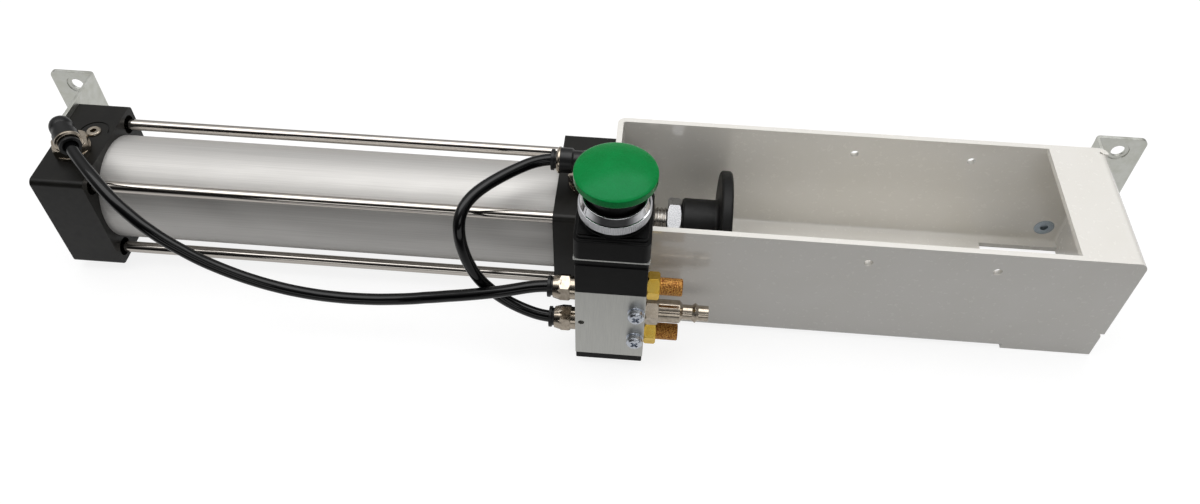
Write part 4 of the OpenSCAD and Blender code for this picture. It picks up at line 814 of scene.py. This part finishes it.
# Routes of the hoses as the photo shows them, in mm from the rear cap's outer face on the cylinder's axis;
# the solids' routes lie within 2 mm of them
REAR_ROUTE = [(16, -10.3, 46.5), (19.7, -14.9, 46.5), (23.4, -19.5, 46.5), (27.4, -24, 46.4),
              (31.6, -28.2, 46.1), (35.9, -32.3, 45.5), (40.3, -36.2, 44.6), (44.7, -39.9, 43.2),
              (49, -43.3, 41.4), (53.4, -46.4, 39.3), (57.8, -49.1, 36.9), (62.3, -51.4, 34.1),
              (66.8, -53.4, 31.1), (71.5, -55, 28), (76.1, -56.2, 24.6), (80.9, -57.1, 21.2),
              (85.7, -57.7, 17.8), (90.6, -58.2, 14.3), (95.5, -58.4, 10.9), (100.6, -58.5, 7.7),
              (105.7, -58.5, 4.7), (110.9, -58.4, 1.8), (116.3, -58.3, -0.8), (121.7, -58.2, -3.1),
              (127.3, -58.1, -5.1), (132.9, -58.1, -6.7), (138.6, -58, -8.1), (144.4, -57.9, -9.2),
              (150.2, -57.9, -9.9), (156.1, -57.8, -10.4), (162.1, -57.8, -10.6), (168, -57.7, -10.6),
              (174, -57.7, -10.3), (179.9, -57.7, -9.8), (185.8, -57.7, -9), (191.7, -57.7, -8.1),
              (197.5, -57.8, -6.9), (203.4, -57.8, -5.5), (209.1, -58, -4.1), (214.9, -58.2, -2.5),
              (220.7, -58.5, -0.9), (226.4, -58.8, 0.8), (232.1, -59, 2.5), (237.8, -59.1, 4.2),
              (243.5, -59.1, 5.9), (249.1, -58.8, 7.5), (254.8, -58.3, 9), (260.6, -57.8, 10.1),
              (266.4, -57.5, 10.6), (272.4, -57.5, 10.6), (278.3, -57.5, 10.6)]
FRONT_ROUTE = [(275, -6, 46.5), (269, -6, 46.5), (263, -6, 46.5), (257.3, -7.1, 46.1),
               (251.9, -9.3, 45.6), (246.7, -12.5, 45), (241.7, -16.4, 44.7), (237, -20.8, 44.6),
               (232.7, -25.4, 44.5), (229.1, -30.1, 44.4), (226.2, -34.7, 43.8), (224.1, -39.1, 42.5),
               (222.9, -42.9, 40.3), (222.6, -46.1, 37.1), (222.9, -48.6, 32.9), (223.7, -50.3, 27.8),
               (225, -51.4, 22), (226.7, -52, 16.1), (228.9, -52.3, 10.1), (231.7, -52.5, 4.5),
               (235.2, -52.7, -0.4), (239.3, -53.1, -4.6), (244, -53.9, -7.9), (249.2, -54.9, -10.4),
               (254.7, -56, -12.1), (260.4, -57, -13.2), (266.3, -57.5, -13.7), (272.3, -57.5, -13.7),
               (278.3, -57.5, -13.7)]
PARTS_PER_SPAN = 8
HOSE_ROUNDNESS = 8


def hose(name, node, route, diameter):
    """One open line along the route, round and closed at its ends; its length is the sum of its parts."""
    line = spline(np.array([cylinder_point(*point) for point in route]), PARTS_PER_SPAN)
    curve = bpy.data.curves.new(name, "CURVE")
    curve.dimensions = "3D"
    curve.bevel_depth = diameter / 2
    curve.bevel_resolution = HOSE_ROUNDNESS
    curve.use_fill_caps = True
    path = curve.splines.new("POLY")
    path.points.add(len(line) - 1)
    path.points.foreach_set("co", np.concatenate([line, np.ones((len(line), 1))], 1).ravel())
    curve.materials.append(finish("hose_skin"))
    cord = bpy.data.objects.new(name, curve)
    bpy.context.scene.collection.objects.link(cord)
    ride_as(cord, "frame", "hose_black", node)


class CRUSHER_OT_hoses(bpy.types.Operator):
    """Makes the two hoses along their routes"""
    bl_idname = "crusher.hoses"
    bl_label = "Hoses"

    def execute(self, context):
        diameter = context.scene.crusher_hose.diameter
        hose("rear_hose", "hose_rear", REAR_ROUTE, diameter)
        hose("front_hose", "hose_front", FRONT_ROUTE, diameter)
        return {"FINISHED"}


# Studio, in metres

FLOOR_GAP, FLOOR_HALF = 0.5 * MM, 4.0
FLOOR_GLOW = 0.84  # strength of the floor's own light where it is seen directly
FRONT_SHADE = (-0.42, -0.25, 1.0, 0.0)  # Y from and to, and the share of painted shade, dark grey, that reflections see on the floor
BACK_GLOW = (-0.30, -0.12, 0.0, 0.5)  # Y from and to, and the strength of the glow in reflections
DOME_LIFT = (0.35, 1.0, 0.3, 0.95)  # upward direction from and to, and the dome's strength
DOME_BACK = (-0.75, 0.1, 0.03, 1.0)  # backward direction from and to, and the share of that strength
SMOOTH = {"interpolation_type": "SMOOTHSTEP"}
# Name, place, aim, width and depth, setting of the power, share of it, and whether glossy pieces mirror it
SOFTBOXES = (
    ("key_softbox", (-0.05, 0.06, 1.25), (0, -0.06, 0), (2.0, 0.9), "key_power", 1.0, True),
    ("fill_softbox", (0.3, -1.4, 0.27), (0, -0.05, 0), (2.2, 0.5), "fill_power", 1.0, True),
    ("strip_softbox", (0.38, -0.9, 0.75), (0.05, -0.05, 0), (0.7, 0.25), "fill_power", 0.2, True),
    ("side_softbox", (-1.3, -0.3, 0.6), (-0.1, -0.05, 0), (0.8, 0.8), "fill_power", 0.5, False),
)
# Camera, fitted to the photograph: place in mm from the rear cap's outer face on the cylinder's axis
CAMERA_PLACE = (312.22, -358.11, 383.83)
CAMERA_RIGHT = (0.996479, 0.083036, 0.011568)
CAMERA_AHEAD = (-0.045905, 0.655862, -0.753484)
FOCAL_PIXELS, PHOTO_PIXELS = 983.29, 1200
SENSOR_MM = 36.0


def floor_material():
    """Matt pale board; seen directly it glows a little, so that the ground is white and keeps the shadow.
    In reflections it shows painted shade, dark grey, in front of the object, and a painted glow behind it."""
    board = Finish("studio board", Roughness=0.9)
    tree = board.tree
    rays = put(tree, "ShaderNodeLightPath").outputs
    depth = put(tree, "ShaderNodeSeparateXYZ", {0: board.coords}).outputs["Y"]
    glossy = rays["Is Glossy Ray"]
    # painted shade: in reflections the floor turns dark grey in front of the object
    shade = put(tree, "ShaderNodeMapRange", span(depth, *FRONT_SHADE), **SMOOTH).outputs[0]
    shade = put(tree, "ShaderNodeMath", {0: shade, 1: glossy}, operation="MULTIPLY").outputs[0]
    pale = board.tones(board.speckle(40.0), "#7c7c7c", "#808080")
    mix = put(tree, "ShaderNodeMix", {"Factor": shade, "A": pale, "B": linear("#1c1c1c")}, data_type="RGBA")
    board.feed("Base Color", mix.outputs["Result"])
    direct = {0: rays["Is Camera Ray"], 1: rays["Is Transmission Ray"]}
    seen = put(tree, "ShaderNodeMath", direct, operation="MAXIMUM").outputs[0]
    # painted glow: in reflections the floor glows behind the object
    back = put(tree, "ShaderNodeMapRange", span(depth, *BACK_GLOW)).outputs[0]
    back = put(tree, "ShaderNodeMath", {0: back, 1: glossy}, operation="MULTIPLY").outputs[0]
    strength = put(tree, "ShaderNodeMath", {0: seen, 1: FLOOR_GLOW, 2: back}, operation="MULTIPLY_ADD")
    glow = put(tree, "ShaderNodeEmission", {"Color": linear("#ffffff"), "Strength": strength.outputs[0]})
    both = put(tree, "ShaderNodeAddShader", {0: board.shader.outputs[0], 1: glow.outputs[0]})
    tree.links.new(both.outputs[0], board.output.inputs["Surface"])
    return board.material


def studio_floor(scene):
    """A square board under the object, just below its lowest point."""
    z, half = CAD_BOX[0].z - FLOOR_GAP, FLOOR_HALF
    corners = [(-half, -half, z), (half, -half, z), (half, half, z), (-half, half, z)]
    mesh = bpy.data.meshes.new("studio_floor")
    mesh.from_pydata(corners, [], [(0, 1, 2, 3)])
    mesh.materials.append(floor_material())
    floor = bpy.data.objects.new("studio_floor", mesh)
    scene.collection.objects.link(floor)


def pale_dome(scene):
    """World: a pale dome, dimmer low down and on the camera's side, so that round metal shows its form. The
    camera itself sees white."""
    scene.world = bpy.data.worlds.new("pale studio")
    scene.world.use_nodes = True
    tree = scene.world.node_tree
    tree.nodes.clear()
    direction = put(tree, "ShaderNodeTexCoord").outputs["Generated"]
    axes = put(tree, "ShaderNodeSeparateXYZ", {0: direction}).outputs
    lift = put(tree, "ShaderNodeMapRange", span(axes["Z"], *DOME_LIFT), **SMOOTH).outputs[0]
    back = put(tree, "ShaderNodeMapRange", span(axes["Y"], *DOME_BACK), **SMOOTH).outputs[0]
    dome = put(tree, "ShaderNodeMath", {0: lift, 1: back}, operation="MULTIPLY").outputs[0]
    seen = put(tree, "ShaderNodeLightPath").outputs["Is Camera Ray"]
    strength = put(tree, "ShaderNodeMath", {0: dome, 1: seen}, operation="MAXIMUM").outputs[0]
    sky = put(tree, "ShaderNodeBackground", {"Color": linear("#ffffff"), "Strength": strength})
    put(tree, "ShaderNodeOutputWorld", {"Surface": sky.outputs[0]})


def softboxes(scene):
    """Rectangular lamps, each turned to its aim."""
    for name, place, aim, size, power, share, mirrored in SOFTBOXES:
        lamp = bpy.data.lights.new(name, "AREA")
        lamp.shape = "RECTANGLE"
        lamp.size, lamp.size_y = size
        lamp.energy = getattr(scene.crusher_studio, power) * share
        obj = bpy.data.objects.new(name, lamp)
        obj.location = place
        obj.visible_glossy = mirrored
        obj.rotation_euler = (Vector(aim) - Vector(place)).to_track_quat("-Z", "Y").to_euler()
        scene.collection.objects.link(obj)


def photo_camera(scene):
    """Camera at the photographed angle: the columns of its turn are the directions right, up and back."""
    data = bpy.data.cameras.new("photo_camera")
    data.sensor_width = SENSOR_MM
    data.lens = SENSOR_MM * FOCAL_PIXELS / PHOTO_PIXELS
    data.clip_start, data.clip_end = 0.01, 50
    camera = bpy.data.objects.new("photo_camera", data)
    right, ahead = Vector(CAMERA_RIGHT).normalized(), Vector(CAMERA_AHEAD).normalized()
    up = right.cross(ahead).normalized()
    turn = Matrix((right, up, -ahead)).transposed().to_4x4()
    turn.translation = Vector(cylinder_point(*CAMERA_PLACE))
    camera.matrix_world = turn
    scene.collection.objects.link(camera)
    scene.camera = camera
    scene.view_settings.view_transform = "Standard"


class CRUSHER_OT_studio(bpy.types.Operator):
    """Makes the floor, the lamps, the world and the camera at the photographed angle"""
    bl_idname = "crusher.studio"
    bl_label = "Studio"

    def execute(self, context):
        studio_floor(context.scene)
        pale_dome(context.scene)
        softboxes(context.scene)
        photo_camera(context.scene)
        return {"FINISHED"}


# The add-on

OPERATORS = (CRUSHER_OT_studio, CRUSHER_OT_hoses, CRUSHER_OT_cylinder, CRUSHER_OT_ram, CRUSHER_OT_trough,
             CRUSHER_OT_valve, CRUSHER_OT_button, CRUSHER_OT_fittings)


class CRUSHER_PT_panel(bpy.types.Panel):
    """Lists the settings and the pieces in the sidebar"""
    bl_label = "Can crusher"
    bl_idname = "CRUSHER_PT_panel"
    bl_space_type = "VIEW_3D"
    bl_region_type = "UI"
    bl_category = "Can crusher"

    def draw(self, context):
        column = self.layout.column()
        for group, settings in SETTINGS.items():
            for name in settings.__annotations__:
                column.prop(getattr(context.scene, group), name)
        for operator in OPERATORS:
            column.operator(operator.bl_idname)


def register():
    for cls in (*SETTINGS.values(), *OPERATORS, CRUSHER_PT_panel):
        bpy.utils.register_class(cls)
    for name, cls in SETTINGS.items():
        setattr(bpy.types.Scene, name, bpy.props.PointerProperty(type=cls))


def unregister():
    for name in SETTINGS:
        delattr(bpy.types.Scene, name)
    for cls in (CRUSHER_PT_panel, *OPERATORS[::-1], *SETTINGS.values()):
        bpy.utils.unregister_class(cls)


def main():
    register()
    for operator in OPERATORS:
        group, name = operator.bl_idname.split(".")
        getattr(getattr(bpy.ops, group), name)()


if __name__ == "__main__":
    main()
